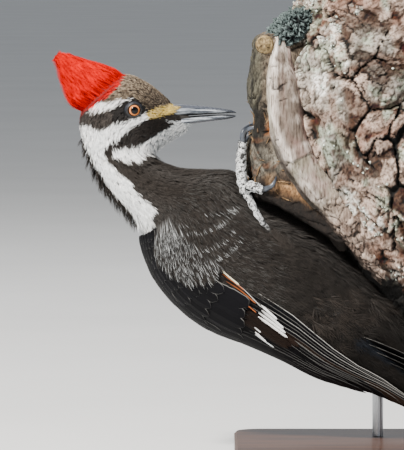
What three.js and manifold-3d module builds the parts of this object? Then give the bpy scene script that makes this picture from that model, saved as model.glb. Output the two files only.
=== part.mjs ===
// Pileated woodpecker, adult female, clinging under a leaning broken limb.
// Life size, in millimetres. +Z is up, the bill points along +X and the bird's right side faces -Y.
// The origin is the centre of the stand's underside; the bird and the limb share the plane y = 0.
import * as THREE from 'three';
import { mergeVertices } from 'three/addons/utils/BufferGeometryUtils.js';
import Module from 'manifold-3d';

const wasm = await Module();
wasm.setup();

// ---------------------------------------------------------------- driving dimensions
const GAP = 0.35; // clearance kept between neighbouring pieces
const DETAIL = { body: 0.12, wood: 0.25 }; // smallest step that cutting leaves
const SIDES = { left: 1, right: -1 }; // sign of y on each side of the bird
const BODY_AROUND = 16; // points round each section of the body

// Body sections from bill base to tail: back point (x, z), belly point (x, z), half width.
const BODY = [
  [-192.0, 259.5, -177.5, 247.0, 4.0], // 0 bill base
  [-198.0, 264.0, -185.0, 241.5, 6.0],
  [-206.0, 271.0, -193.0, 236.5, 9.0],
  [-215.5, 277.5, -200.0, 232.5, 13.0],
  [-227.0, 282.0, -205.0, 229.0, 16.0], // 4 eye
  [-240.0, 280.0, -207.5, 226.0, 17.0],
  [-251.0, 272.5, -208.5, 225.0, 17.0],
  [-259.0, 260.5, -209.0, 224.5, 16.5],
  [-262.5, 246.5, -209.0, 223.5, 16.5], // 8 nape
  [-259.5, 231.5, -208.0, 222.0, 17.0],
  [-253.0, 215.5, -205.5, 220.5, 18.0],
  [-243.0, 198.5, -199.5, 217.5, 20.5],
  [-231.0, 185.0, -188.5, 214.0, 24.5], // 12 neck base
  [-219.5, 171.0, -170.5, 213.0, 29.0],
  [-212.0, 156.0, -152.0, 211.5, 32.5],
  [-201.0, 134.5, -138.0, 198.0, 35.0], // 15 chest
  [-187.0, 114.5, -121.0, 185.0, 36.0],
  [-164.5, 101.5, -101.5, 175.5, 36.0],
  [-140.0, 92.5, -81.0, 162.5, 34.5],
  [-113.0, 83.5, -64.0, 145.0, 31.0], // 19 vent
  [-87.0, 73.5, -48.0, 127.0, 26.5],
  [-64.5, 64.0, -35.0, 112.5, 21.0],
  [-41.5, 55.5, -25.5, 95.5, 14.0],
  [-22.0, 50.5, -16.5, 66.0, 7.0], // 23 end of the tail coverts
];
const BODY_NODES = { head: [0, 8], neck: [8, 12], breast: [12, 15], belly: [15, 19], rump: [19, 23] };

// Crest sections from its root in the crown to its tip: top point, rear point, half width.
const CREST = [
  [-227.5, 283.5, -262.5, 252.5, 12.0],
  [-239.0, 287.0, -267.5, 260.5, 11.0],
  [-248.0, 290.5, -271.0, 269.5, 9.0],
  [-259.0, 294.0, -274.5, 278.5, 6.5],
  [-268.0, 297.0, -277.5, 287.0, 4.5],
  [-274.0, 298.5, -279.5, 292.5, 2.8],
  [-278.5, 297.5, -280.5, 295.5, 1.0],
];

// Bill sections along x: x, top z, bottom z, half width.
const BILL_UPPER = [
  [-200.5, 260.0, 249.8, 7.0],
  [-190.0, 260.6, 251.6, 6.4],
  [-177.5, 259.7, 252.7, 5.3],
  [-165.5, 258.3, 253.4, 4.0],
  [-155.0, 256.8, 254.0, 2.7],
  [-151.0, 255.6, 254.1, 1.9],
  [-149.0, 254.6, 254.0, 1.1],
];
const BILL_LOWER = [
  [-202.0, 249.4, 243.6, 6.2],
  [-191.5, 250.9, 244.7, 5.6],
  [-179.0, 252.1, 246.5, 4.6],
  [-166.5, 252.8, 248.2, 3.5],
  [-156.5, 253.0, 249.5, 2.4],
  [-151.5, 252.8, 250.6, 1.6],
  [-149.5, 252.6, 251.5, 1.0],
];

const EYE = { x: -223.0, y: 13.4, z: 256.6, radius: 5.4 };

// Folded wing sections from shoulder to wing tip: back contour point (x, z), section centre (x, z),
// half width, then the degrees from the back at which the wing's upper and lower edges lie.
const WING = [
  [-219.0, 162.0, -186.5, 187.5, 33.5, 4, 60],
  [-215.5, 151.5, -183.0, 181.0, 36.5, 3, 64],
  [-206.5, 132.0, -170.5, 165.5, 38.5, 3, 66],
  [-188.0, 111.0, -153.5, 150.0, 39.0, 3, 70],
  [-166.5, 96.5, -132.5, 139.0, 39.0, 3, 72], // 4 wrist line
  [-142.0, 87.0, -110.0, 127.5, 38.0, 3, 67],
  [-115.5, 75.5, -90.0, 111.5, 34.5, 3, 63],
  [-94.0, 64.5, -74.0, 92.0, 29.0, 4, 64],
  [-74.0, 57.0, -59.5, 75.5, 23.0, 6, 67], // 8 end of the secondaries
  [-53.5, 50.0, -43.5, 62.5, 17.0, 10, 70],
  [-36.0, 42.0, -29.0, 50.0, 12.0, 14, 78],
  [-22.0, 35.5, -17.0, 40.0, 8.0, 25, 95],
  [-12.5, 31.0, -10.0, 33.0, 5.0, 40, 120],
];
const FAR_WING_DROOP = 14; // degrees further down at which the left wing's lower edge lies
const WING_PARTS = { wrist: 4, secondariesEnd: 8, tip: 12, split: 0.5, front: 3.2, rear: 1.2 };

// Tail: centre line from root to tip, and the fan of five feathers on each side.
const TAIL_LINE = [[-76, 84], [-48.5, 73], [-19.5, 60], [9.5, 48.5], [38.5, 38.5], [64, 31.5]];
const TAIL = { feathers: 5, spread: 6.2, tipSpread: 8.6, layer: 2.4, width: 17, thickness: 0.8, step: 11 };
const TAIL_LENGTH = 150;

// Leg, drawn for the right side: each path is x, distance from the mid plane, z.
const THIGH = { path: [[-108, 17, 147], [-117, 22, 159], [-126, 25.5, 170]], radii: [13, 10, 4.6] };
const TARSUS = { path: [[-123, 25, 166], [-126.5, 26, 171.5], [-133.5, 27, 181], [-141.5, 25, 196.5]], radii: [2.2, 2.3, 3.1, 3.2] };
const TOES = {
  inner: { path: [[-142, 20, 198], [-144.5, 16, 207], [-145.5, 13, 218], [-144.0, 12, 227]], radius: 2.6 },
  middle: { path: [[-142.5, 24, 198], [-145, 23, 206], [-145.5, 22, 219], [-144.3, 22, 233]], radius: 3.7 },
  outer: { path: [[-142.5, 25, 200], [-138.5, 30, 202.5], [-134.5, 33, 201.5], [-130.5, 35, 199.5]], radius: 3.8 },
  rear: { path: [[-142, 21, 196], [-141.5, 16, 192], [-139, 11, 188.5], [-135, 7, 186]], radius: 2.3 },
};
const CLAWS = {
  inner: [[-144.0, 12, 227], [-142.5, 13, 235], [-138.5, 14, 238.5], [-134.5, 15, 236]],
  middle: [[-144.3, 22, 232.5], [-143.4, 25, 240], [-139, 29, 244], [-133.4, 31, 244.3], [-129.5, 31, 241.4]],
  outer: [[-131, 35, 200], [-124.7, 38, 202.3], [-121.7, 37.5, 206], [-120.5, 34, 209.5]],
  rear: [[-135, 7, 186], [-130, 5, 184.5], [-126, 4, 187], [-124, 3.5, 190.5]],
};
const CLAW_RADII = { root: 2.1, tip: 0.55 };

// Limb: centre line of the log from its top cut to its lower cut, and what is left of the stub.
const LOG_LINE = [
  [-40, 360], [-46, 322], [-55.5, 284], [-53.5, 246.5], [-36, 211.5], [-13, 187], [12, 167], [42, 138.5],
  [74.5, 106], [114.5, 65.5],
];
const LOG = { radius: 60, length: 365, steps: 30, around: 34 };
const UNDERSIDE = { from: 128, to: 274, rise: [0, 2, 4.5, 4, 7.5, 9.5, 10, 5, 0] }; // swelling towards the bird
const BARK = { plate: [34, 34, 42], bend: 6, furrow: 0.26, depth: 4.4, lift: 1.8, detail: 1.2 };
const STUB_OUTLINE = [
  [-134, 308], [-138, 291.5], [-140.5, 270], [-138.5, 259], [-135, 250.5], [-139.5, 238], [-141, 222.5],
  [-139.5, 208], [-134.5, 195], [-123, 190.5], [-108, 187.5], [-86, 178], [-70, 197], [-80, 226],
  [-85, 262], [-85, 298], [-104, 309], [-122, 311.5],
];
const STUB = { centre: [-85, 250], halfDepth: 34, crag: 1.3 };
const LIP = {
  path: [
    [-116.5, 28, 309], [-118, 31, 284], [-117.5, 33, 262], [-114.5, 34, 240], [-108, 34, 222],
    [-96.5, 34, 204], [-82, 34, 187], [-69, 32, 169], [-55.5, 27, 150], [-41, 20, 134],
  ],
  radii: [5.5, 9.5, 10, 10.2, 10, 9.6, 9, 8, 6.5, 4],
};

const BASE = { length: 300, width: 200, thickness: 16, corner: 18, bevel: 2 };
const ROD = { radius: 4, sides: 16, socket: 0.3 };
const RODS = { 1: { x: 112, y: 0, top: 110 }, 2: { x: -45, y: 37, top: 200 } };

// ---------------------------------------------------------------- finishes
const finish = (color, roughness, metalness = 0) => ({ color, roughness, metalness });
const FINISHES = {
  black: finish(0x2b2a2c, 0.75),
  slate: finish(0x3a3836, 0.8),
  white: finish(0xe8e4dc, 0.8),
  red: finish(0xd8201a, 0.7),
  horn: finish(0x8c939b, 0.4),
  eye: finish(0xb06a2c, 0.08),
  scute: finish(0x8f979b, 0.55),
  claw: finish(0x50555c, 0.35),
  bark: finish(0x9a8a80, 0.95),
  wood: finish(0xa08a70, 0.9),
  lip: finish(0xb3aca5, 0.7),
  base: finish(0x3b2d24, 0.45),
  steel: finish(0x9b9d9f, 0.35, 1),
};

const model = new THREE.Group();

function addPart(name, geometry, look) {
  geometry.computeVertexNormals();
  const mesh = new THREE.Mesh(geometry, new THREE.MeshStandardMaterial(FINISHES[look]));
  mesh.name = name;
  model.add(mesh);
  return mesh;
}

// ---------------------------------------------------------------- curves and solids
/** Catmull-Rom value at t of a table whose rows hold the same kinds of number. */
function rowAt(rows, t) {
  const last = rows.length - 1;
  const i = Math.min(Math.floor(t), last - 1);
  const f = t - i;
  const at = (k) => rows[Math.min(Math.max(k, 0), last)];
  const [a, b, c, d] = [at(i - 1), at(i), at(i + 1), at(i + 2)];
  return b.map((_, k) => {
    const slope = c[k] - a[k];
    const curve = 2 * a[k] - 5 * b[k] + 4 * c[k] - d[k];
    const twist = 3 * (b[k] - c[k]) + d[k] - a[k];
    return b[k] + 0.5 * f * (slope + f * (curve + f * twist));
  });
}

const steps = (count, from = 0, to = 1) =>
  Array.from({ length: count + 1 }, (_, i) => from + ((to - from) * i) / count);

/** Encloses a triangle list, turned so that its faces point outwards. */
function solidFrom(points, faces) {
  const geometry = new THREE.BufferGeometry();
  geometry.setAttribute('position', new THREE.Float32BufferAttribute(points.flatMap((p) => p.toArray()), 3));
  let volume = 0;
  for (const [a, b, c] of faces) {
    volume += points[a].dot(new THREE.Vector3().crossVectors(points[b], points[c]));
  }
  geometry.setIndex((volume < 0 ? faces.map(([a, b, c]) => [a, c, b]) : faces).flat());
  return geometry;
}

/** Skins a row of closed rings and closes both ends with a fan. */
function ringLoft(rings) {
  const count = rings[0].length;
  const points = rings.flat();
  const faces = [];
  for (let r = 0; r < rings.length - 1; r++) {
    for (let i = 0; i < count; i++) {
      const j = (i + 1) % count;
      const [a, b] = [r * count + i, r * count + j];
      faces.push([a, b, b + count], [a, b + count, a + count]);
    }
  }
  for (const [r, turned] of [[0, true], [rings.length - 1, false]]) {
    const centre = points.length;
    const middle = rings[r].reduce((sum, p) => sum.add(p), new THREE.Vector3()).divideScalar(count);
    points.push(middle);
    for (let i = 0; i < count; i++) {
      const [a, b] = [r * count + i, r * count + ((i + 1) % count)];
      faces.push(turned ? [centre, b, a] : [centre, a, b]);
    }
  }
  return solidFrom(points, faces);
}

/** Joins two like grids of points, an outer and an inner skin, into one thin closed sheet. */
function sheet(outer, inner) {
  const [rows, columns] = [outer.length, outer[0].length];
  const points = [...outer.flat(), ...inner.flat()];
  const size = rows * columns;
  const at = (r, c) => r * columns + c;
  const faces = [];
  const quad = (a, b, c, d) => faces.push([a, b, c], [a, c, d]);
  for (let r = 0; r < rows - 1; r++) {
    for (let c = 0; c < columns - 1; c++) {
      const corner = [at(r, c), at(r, c + 1), at(r + 1, c + 1), at(r + 1, c)];
      quad(...corner);
      quad(...corner.map((k) => k + size).reverse());
    }
    quad(at(r, 0), at(r + 1, 0), at(r + 1, 0) + size, at(r, 0) + size);
    const end = columns - 1;
    quad(at(r + 1, end), at(r, end), at(r, end) + size, at(r + 1, end) + size);
  }
  for (let c = 0; c < columns - 1; c++) {
    quad(at(0, c + 1), at(0, c), at(0, c) + size, at(0, c + 1) + size);
    const end = rows - 1;
    quad(at(end, c), at(end, c + 1), at(end, c + 1) + size, at(end, c) + size);
  }
  return solidFrom(points, faces);
}

/** A ring between a back point and a belly point, bulging sideways by the half width. */
function profileRing([bx, bz, fx, fz, half], count, shift = new THREE.Vector3()) {
  const middle = new THREE.Vector3((bx + fx) / 2, 0, (bz + fz) / 2).add(shift);
  const reach = new THREE.Vector3((bx - fx) / 2, 0, (bz - fz) / 2);
  return steps(count - 1, 0, 2 * Math.PI * (1 - 1 / count)).map((angle) => {
    const point = middle.clone().addScaledVector(reach, Math.cos(angle));
    point.y += half * Math.sin(angle);
    return point;
  });
}

/** A limb along a smooth path; radiusAt gives its radius at each place along and around it. */
function limb(path, radiusAt, along, around) {
  const curve = new THREE.CatmullRomCurve3(path.map((p) => new THREE.Vector3(...p)), false, 'centripetal');
  const frames = curve.computeFrenetFrames(along, false);
  const rings = steps(along).map((t, i) => {
    const centre = curve.getPointAt(t);
    return steps(around - 1, 0, 2 * Math.PI * (1 - 1 / around)).map((angle) => {
      const radius = radiusAt(t, angle);
      return centre.clone()
        .addScaledVector(frames.normals[i], radius * Math.cos(angle))
        .addScaledVector(frames.binormals[i], radius * Math.sin(angle));
    });
  });
  return ringLoft(rings);
}

/** Radius along a limb, read evenly from a short list. */
const radiusFrom = (radii) => (t) => rowAt(radii.map((r) => [r]), t * (radii.length - 1))[0];

/** Turns a path drawn for one side onto the side with the given sign of y. */
const onSide = (path, sign) => path.map(([x, y, z]) => [x, sign * y, z]);

// ---------------------------------------------------------------- cutting
function merged(geometry) {
  const bare = geometry.clone();
  bare.deleteAttribute('normal');
  bare.deleteAttribute('uv');
  return mergeVertices(bare, 1e-4);
}

function toManifold(geometry) {
  const bare = geometry.index && !geometry.attributes.uv ? geometry : merged(geometry);
  return new wasm.Manifold(new wasm.Mesh({
    numProp: 3,
    vertProperties: new Float32Array(bare.attributes.position.array),
    triVerts: new Uint32Array(bare.index.array),
  }));
}

/** The largest piece of a cut solid, as a geometry again. */
function toGeometry(manifold) {
  const largest = manifold.decompose().sort((a, b) => b.volume() - a.volume())[0];
  const { numProp, vertProperties, triVerts } = largest.getMesh();
  const geometry = new THREE.BufferGeometry();
  const positions = [];
  for (let i = 0; i < vertProperties.length; i += numProp) {
    positions.push(vertProperties[i], vertProperties[i + 1], vertProperties[i + 2]);
  }
  geometry.setAttribute('position', new THREE.Float32BufferAttribute(positions, 3));
  geometry.setIndex([...triVerts]);
  return geometry;
}

/** A copy whose surface stands further out by the given distance. */
function grown(geometry, distance) {
  const copy = merged(geometry);
  copy.computeVertexNormals();
  const { position, normal } = copy.attributes;
  for (let i = 0; i < position.count; i++) {
    position.setXYZ(
      i,
      position.getX(i) + distance * normal.getX(i),
      position.getY(i) + distance * normal.getY(i),
      position.getZ(i) + distance * normal.getZ(i),
    );
  }
  copy.deleteAttribute('normal');
  return copy;
}

/** Cuts a solid back so that it stays clear of the pieces that it meets. */
function clearOf(geometry, neighbours, detail = DETAIL.body, gap = GAP) {
  geometry.computeBoundingBox();
  let solid = toManifold(geometry);
  for (const neighbour of neighbours) {
    neighbour.computeBoundingBox();
    if (!geometry.boundingBox.clone().expandByScalar(gap).intersectsBox(neighbour.boundingBox)) continue;
    solid = solid.subtract(toManifold(grown(neighbour, gap)));
  }
  return toGeometry(solid.simplify(detail));
}

// ---------------------------------------------------------------- bird
/** The places along the body at which a stretch of it has a ring. */
const ringPlaces = ([from, to]) => steps(Math.round((to - from) * 1.25), from, to);

function bodySegment([from, to]) {
  const rings = ringPlaces([from, to]).map((t) => {
    const [bx, bz, fx, fz] = rowAt(BODY, t);
    const normal = new THREE.Vector3(fz - bz, 0, bx - fx).normalize();
    const inward = t === from ? 1 : t === to ? -1 : 0;
    const ahead = rowAt(BODY, Math.min(t + 0.1, BODY.length - 1));
    const forward = Math.sign(normal.x * (ahead[0] - bx) + normal.z * (ahead[1] - bz)) || 1;
    return profileRing(rowAt(BODY, t), BODY_AROUND, normal.multiplyScalar((inward * forward * GAP) / 2));
  });
  return ringLoft(rings);
}

function billPart(sections, ridge) {
  const rings = sections.map(([x, top, bottom, half]) => {
    const middle = (top + bottom) / 2;
    const high = (top - bottom) / 2;
    return [
      [0, 1], [0.5, 0.72], [0.92, 0.1], [0.85, -0.75], [0.4, -1], [-0.4, -1], [-0.85, -0.75],
      [-0.92, 0.1], [-0.5, 0.72],
    ].map(([across, up]) => new THREE.Vector3(x, half * across, middle + ridge * high * up));
  });
  return ringLoft(rings);
}

function eyeball(sign) {
  const ball = new THREE.SphereGeometry(EYE.radius, 11, 6);
  ball.translate(EYE.x, sign * EYE.y, EYE.z);
  return merged(ball);
}

/** One patch of the folded wing, between two sections and two shares of the way from edge to edge. */
function wingPatch(sign, [from, to], lowShare, highShare, rows, columns) {
  const outer = [];
  const inner = [];
  for (const t of steps(rows, from, to)) {
    const [bx, bz, cx, cz, half, startDegrees, endDegrees] = rowAt(WING, t);
    const [low, high] = [lowShare(t), highShare(t)];
    const thickness = THREE.MathUtils.lerp(WING_PARTS.front, WING_PARTS.rear, t / WING_PARTS.tip);
    const depth = Math.hypot(bx - cx, bz - cz);
    const row = (inset) => steps(columns).map((share) => {
      const lowEdge = endDegrees + (sign > 0 ? FAR_WING_DROOP : 0);
      const degrees = THREE.MathUtils.lerp(startDegrees, lowEdge, low + (high - low) * share);
      const angle = THREE.MathUtils.degToRad(degrees);
      const along = ((depth - inset) / depth) * Math.cos(angle);
      const across = (half - inset) * Math.sin(angle);
      return new THREE.Vector3(cx + (bx - cx) * along, sign * across, cz + (bz - cz) * along);
    });
    outer.push(row(0));
    inner.push(row(thickness));
  }
  return sheet(outer, inner);
}

function wingPieces(sign) {
  const { wrist, secondariesEnd, tip, split } = WING_PARTS;
  const gap = 0.01;
  const splitAt = (t) => split * Math.max(0, Math.min(1, secondariesEnd + 0.6 - t));
  const constant = (value) => () => value;
  return {
    coverts: wingPatch(sign, [0, wrist - gap], constant(0), constant(1), 6, 6),
    secondaries: wingPatch(sign, [wrist, secondariesEnd], constant(0), constant(split - gap), 6, 3),
    primaries: wingPatch(sign, [wrist, tip], splitAt, constant(1), 12, 3),
  };
}

/** A tail feather: number 1 lies next to the middle, on top; the outer ones are shorter and lie under. */
function tailFeather(sign, number) {
  const line = TAIL_LINE.map(([x, z]) => [x, z]);
  const reach = 1 - ((number - 1) * TAIL.step) / TAIL_LENGTH;
  const grids = [[], []];
  for (const share of steps(5)) {
    const t = share * reach * (line.length - 1);
    const [x, z] = rowAt(line, t);
    const [ahead, aheadZ] = rowAt(line, Math.min(t + 0.05, line.length - 1));
    const [behind, behindZ] = rowAt(line, Math.max(t - 0.05, 0));
    const along = new THREE.Vector3(ahead - behind, 0, aheadZ - behindZ).normalize();
    const up = new THREE.Vector3(-along.z, 0, along.x);
    const spread = THREE.MathUtils.lerp(TAIL.spread, TAIL.tipSpread, share * reach) * (number - 0.5) * 0.75;
    const taper = Math.min(1, 0.45 + share * 2.2) * Math.sqrt(Math.max(0.012, 1 - share ** 6));
    const under = (number - 1) * TAIL.layer + (sign > 0 ? 0 : TAIL.layer / 2);
    for (const side of [0, 1]) {
      grids[side].push(steps(3, -1, 1).map((across) => {
        const y = sign * spread + (across * TAIL.width * taper) / 2;
        const arch = -(y * y) / 150;
        const skin = side === 0 ? TAIL.thickness / 2 : -TAIL.thickness / 2;
        return new THREE.Vector3(x, y, z).addScaledVector(up, under + skin - arch);
      }));
    }
  }
  return sheet(grids[0], grids[1]);
}

const flesh = {};
for (const [name, range] of Object.entries(BODY_NODES)) flesh[name] = bodySegment(range);
const bodyPlaces = new Set(Object.values(BODY_NODES).flatMap(ringPlaces));
const wholeBody = ringLoft([...bodyPlaces].map((t) => profileRing(rowAt(BODY, t), BODY_AROUND)));

const eyes = { left: eyeball(SIDES.left), right: eyeball(SIDES.right) };
flesh.head = clearOf(flesh.head, Object.values(eyes));
for (const [name, geometry] of Object.entries(flesh)) addPart(name, geometry, 'black');
for (const [side, ball] of Object.entries(eyes)) addPart(`eye_${side}`, ball, 'eye');

const crest = ringLoft(steps(9, 0, CREST.length - 1).map((t) => profileRing(rowAt(CREST, t), 10)));
addPart('crest', clearOf(crest, [wholeBody]), 'red');
addPart('bill_upper', clearOf(billPart(BILL_UPPER, 1), [wholeBody]), 'horn');
addPart('bill_lower', clearOf(billPart(BILL_LOWER, -1), [wholeBody]), 'horn');

const wings = {};
for (const [side, sign] of Object.entries(SIDES)) {
  for (const [part, geometry] of Object.entries(wingPieces(sign))) {
    wings[`wing_${side}_${part}`] = clearOf(geometry, [wholeBody, ...Object.values(wings)]);
  }
}
for (const [name, geometry] of Object.entries(wings)) addPart(name, geometry, 'black');

// ---------------------------------------------------------------- perch and stand
/** A number from 0 to 1 that is always the same for the same whole numbers. */
function fixedRandom(i, j, k, which) {
  const wave = Math.sin(i * 127.1 + j * 311.7 + k * 74.7 + which * 53.3) * 43758.5453;
  return wave - Math.floor(wave);
}

/** Bark plates around a place: the distance to the furrow between them and a number for the plate. */
function plateAt(x, y, z) {
  const place = [
    x + BARK.bend * Math.sin(z / 19 + y / 37),
    y + BARK.bend * Math.sin(z / 23 + x / 31 + 4.1),
    z + BARK.bend * Math.sin(x / 17 + y / 21 + 1.7),
  ].map((value, n) => value / BARK.plate[n]);
  const home = place.map(Math.floor);
  let [first, second, plate] = [9, 9, 0];
  for (let n = 0; n < 27; n++) {
    const cell = home.map((value, axis) => value + (Math.floor(n / 3 ** axis) % 3) - 1);
    const far = Math.hypot(...cell.map((value, axis) => value + fixedRandom(...cell, axis) - place[axis]));
    if (far < first) [first, second, plate] = [far, first, fixedRandom(...cell, 7)];
    else second = Math.min(second, far);
  }
  return { border: second - first, plate };
}

/** Radius of the bark: plates of different thickness, parted by furrows. */
function bark(t, angle) {
  const [x, y] = [-LOG.radius * Math.sin(angle), -LOG.radius * Math.cos(angle)];
  const { border, plate } = plateAt(x, y, t * LOG.length);
  const furrow = 1 - THREE.MathUtils.smoothstep(border, 0, BARK.furrow);
  const share = THREE.MathUtils.clamp((t * LOG.length - UNDERSIDE.from) / (UNDERSIDE.to - UNDERSIDE.from), 0, 1);
  const swelling = radiusFrom(UNDERSIDE.rise)(share) * Math.max(0, Math.sin(angle)) ** 9;
  return LOG.radius + swelling - BARK.depth * furrow + BARK.lift * (plate - 0.5);
}
const logPath = LOG_LINE.map(([x, z]) => [x, 0, z]);
const log = clearOf(limb(logPath, bark, LOG.steps, LOG.around), [wholeBody], BARK.detail, 1);
const trunk = limb(logPath, () => LOG.radius + BARK.lift, 16, 24); // what its neighbours are cut to

const lips = {};
for (const [side, sign] of Object.entries({ near: -1, far: 1 })) {
  lips[side] = clearOf(limb(onSide(LIP.path, sign), radiusFrom(LIP.radii), 13, 10), [trunk, log], DETAIL.wood);
}

/** The broken stub: its outline drawn in towards the limb at the near and far faces. */
function brokenStub() {
  const draw = (share) => 1 - 0.3 * share ** 4;
  const crag = (i, share) => STUB.crag * Math.sin(2.4 * i + 5 * share);
  const rings = steps(5, -1, 1).map((share) => STUB_OUTLINE.map(([x, z], i) => new THREE.Vector3(
    STUB.centre[0] + (x - STUB.centre[0]) * draw(share) + crag(i, share),
    STUB.halfDepth * share,
    STUB.centre[1] + (z - STUB.centre[1]) * draw(share),
  )));
  return ringLoft(rings);
}
const stub = clearOf(brokenStub(), [trunk, log, ...Object.values(lips)], DETAIL.wood);

addPart('perch_log', log, 'bark');
for (const [side, geometry] of Object.entries(lips)) addPart(`perch_lip_${side}`, geometry, 'lip');
addPart('perch_stub', stub, 'wood');

function standBase() {
  const { length, width, corner, bevel, thickness } = BASE;
  const outline = new THREE.Shape();
  const [x, y] = [length / 2 - bevel, width / 2 - bevel];
  outline.moveTo(-x + corner, -y).lineTo(x - corner, -y);
  outline.absarc(x - corner, -y + corner, corner, -Math.PI / 2, 0);
  outline.absarc(x - corner, y - corner, corner, 0, Math.PI / 2);
  outline.absarc(-x + corner, y - corner, corner, Math.PI / 2, Math.PI);
  outline.absarc(-x + corner, -y + corner, corner, Math.PI, 1.5 * Math.PI);
  const slab = new THREE.ExtrudeGeometry(outline, {
    depth: thickness - 2 * bevel, bevelThickness: bevel, bevelSize: bevel, bevelSegments: 1, curveSegments: 3,
  });
  slab.translate(0, 0, bevel);
  return merged(slab);
}
addPart('stand_base', standBase(), 'base');

for (const [number, { x, y, top }] of Object.entries(RODS)) {
  const foot = BASE.thickness + ROD.socket;
  const rod = new THREE.CylinderGeometry(ROD.radius, ROD.radius, top - foot, ROD.sides);
  rod.rotateX(Math.PI / 2).translate(x, y, (top + foot) / 2);
  addPart(`stand_rod_${number}`, clearOf(merged(rod), [trunk]), 'steel');
}

// ---------------------------------------------------------------- tail
for (const [side, sign] of Object.entries(SIDES)) {
  for (let number = 1; number <= TAIL.feathers; number++) {
    addPart(`tail_${side}_${number}`, clearOf(tailFeather(sign, number), [wholeBody, trunk]), 'black');
  }
}

// ---------------------------------------------------------------- legs and feet
for (const [side, sign] of Object.entries(SIDES)) {
  const wood = [trunk, stub];
  const skin = [wholeBody];
  const tarsus = limb(onSide(TARSUS.path, sign), radiusFrom(TARSUS.radii), 6, 7);
  const thigh = clearOf(limb(onSide(THIGH.path, sign), radiusFrom(THIGH.radii), 6, 12), skin);
  const shank = clearOf(tarsus, [...skin, thigh]);
  addPart(`thigh_${side}`, thigh, 'black');
  addPart(`tarsus_${side}`, shank, 'scute');
  const made = [shank];
  for (const [name, { path, radius }] of Object.entries(TOES)) {
    const swell = (t) => radius * (1 - 0.18 * t + 0.06 * Math.sin(9 * t));
    const toe = clearOf(limb(onSide(path, sign), swell, 6, 7), [...wood, ...skin, ...made]);
    made.push(toe);
    addPart(`toe_${side}_${name}`, toe, 'scute');
    const taper = (t) => THREE.MathUtils.lerp(CLAW_RADII.root, CLAW_RADII.tip, t);
    const claw = clearOf(limb(onSide(CLAWS[name], sign), taper, 5, 6), [...wood, ...skin, ...made]);
    made.push(claw);
    addPart(`claw_${side}_${name}`, claw, 'claw');
  }
}

export default model;
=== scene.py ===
"""Life-size still model of an adult female pileated woodpecker, clinging under a leaning broken limb.

The bird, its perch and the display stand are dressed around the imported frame. Lengths in the tables are in
millimetres in the frame's axes: +X is the way the bill points, -Y is the bird's right side and +Z is up.
"""
from __future__ import annotations

import logging
import math
from dataclasses import dataclass
from enum import Enum
from typing import Callable, Iterable, Sequence

import bpy
import numpy as np
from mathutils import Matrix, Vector, kdtree


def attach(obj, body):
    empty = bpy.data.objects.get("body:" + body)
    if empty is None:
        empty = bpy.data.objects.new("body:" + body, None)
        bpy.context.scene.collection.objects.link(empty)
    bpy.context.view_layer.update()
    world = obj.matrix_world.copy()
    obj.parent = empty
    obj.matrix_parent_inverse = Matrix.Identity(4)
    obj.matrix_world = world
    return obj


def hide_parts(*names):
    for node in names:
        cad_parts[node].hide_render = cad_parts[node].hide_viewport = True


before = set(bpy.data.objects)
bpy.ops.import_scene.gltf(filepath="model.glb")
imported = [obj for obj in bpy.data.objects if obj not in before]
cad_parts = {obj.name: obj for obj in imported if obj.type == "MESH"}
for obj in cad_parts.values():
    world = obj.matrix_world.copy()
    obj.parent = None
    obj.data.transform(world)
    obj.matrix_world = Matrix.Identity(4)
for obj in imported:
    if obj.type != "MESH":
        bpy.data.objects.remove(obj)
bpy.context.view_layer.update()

log = logging.getLogger("woodpecker")

MM = 0.001  # one millimetre in scene units
TURN = 2.0 * math.pi
BODY = "root"  # the still model is one body
Array = np.ndarray
Rng = np.random.Generator
Pair = tuple[float, float]
Socket = bpy.types.NodeSocket
Thing = bpy.types.Object


# ---- colour
def linear(code: str) -> tuple[float, float, float]:
    """Turns an sRGB hex colour into linear light.

    Args:
        code: a colour such as "#8a9099".

    Returns:
        The red, green and blue values in linear light.
    """
    parts = [int(code[i:i + 2], 16) / 255.0 for i in (1, 3, 5)]
    return tuple(c / 12.92 if c <= 0.04045 else ((c + 0.055) / 1.055) ** 2.4 for c in parts)


def rgba(code: str) -> tuple[float, float, float, float]:
    """Gives a hex colour as an opaque linear colour."""
    return (*linear(code), 1.0)


class Tone(Enum):
    """The plumage's and bare parts' colours."""

    SLATE = "#282421"  # worn black contour feathers, brownish in sun
    WING = "#08080b"  # glossier, bluer black of the wing
    WING_WORN = "#1d1511"  # faded brown of the inner primaries
    EDGE = "#a9a9a6"  # pale fringe of a dark feather; along the primaries it also stands for painted highlight
    WHITE = "#fcfdfd"
    # painted shade: white as it looks in shadow, a bluish grey; it also gives the grey of pale fringes
    WHITE_PAINTED_SHADE = "#d6dbde"
    UNDERTAIL_PAINTED_SHEEN = "#262c36"  # painted sheen: the bluish gloss that the black coverts under the tail show in the light
    DOWN = "#1f1b18"  # loose brownish feathers under the tail
    CREAM = "#d9d2b8"
    RUST = "#96552f"  # stained shaft of an outer feather
    RED = "#dd0000"
    # painted shade: the crest's red as it looks in shadow between the locks
    RED_PAINTED_SHADE = "#7c0303"
    FOREHEAD = "#43352b"
    FOREHEAD_PALE = "#a39480"
    MALAR = "#1d1917"
    EYE_STRIPE = "#191716"
    EAR = "#4d4743"  # greyer rear of the eye stripe
    NASAL = "#e0c25c"
    NASAL_TIP = "#a89a80"

    @property
    def light(self) -> Array:
        """The colour in linear light."""
        return np.array(linear(self.value))


# ---- nodes
def feed(tree: bpy.types.NodeTree, node: bpy.types.Node, given: dict) -> None:
    """Sets or links a node's inputs and sets its own properties.

    Args:
        tree: the node tree that holds it.
        node: the node.
        given: a value or an output socket by the name or number of its input, or a value by property name.
    """
    for name, value in given.items():
        if isinstance(value, Socket):
            tree.links.new(value, node.inputs[name])
        elif isinstance(name, int) or name in node.inputs:
            node.inputs[name].default_value = value
        else:
            setattr(node, name, value)


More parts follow.
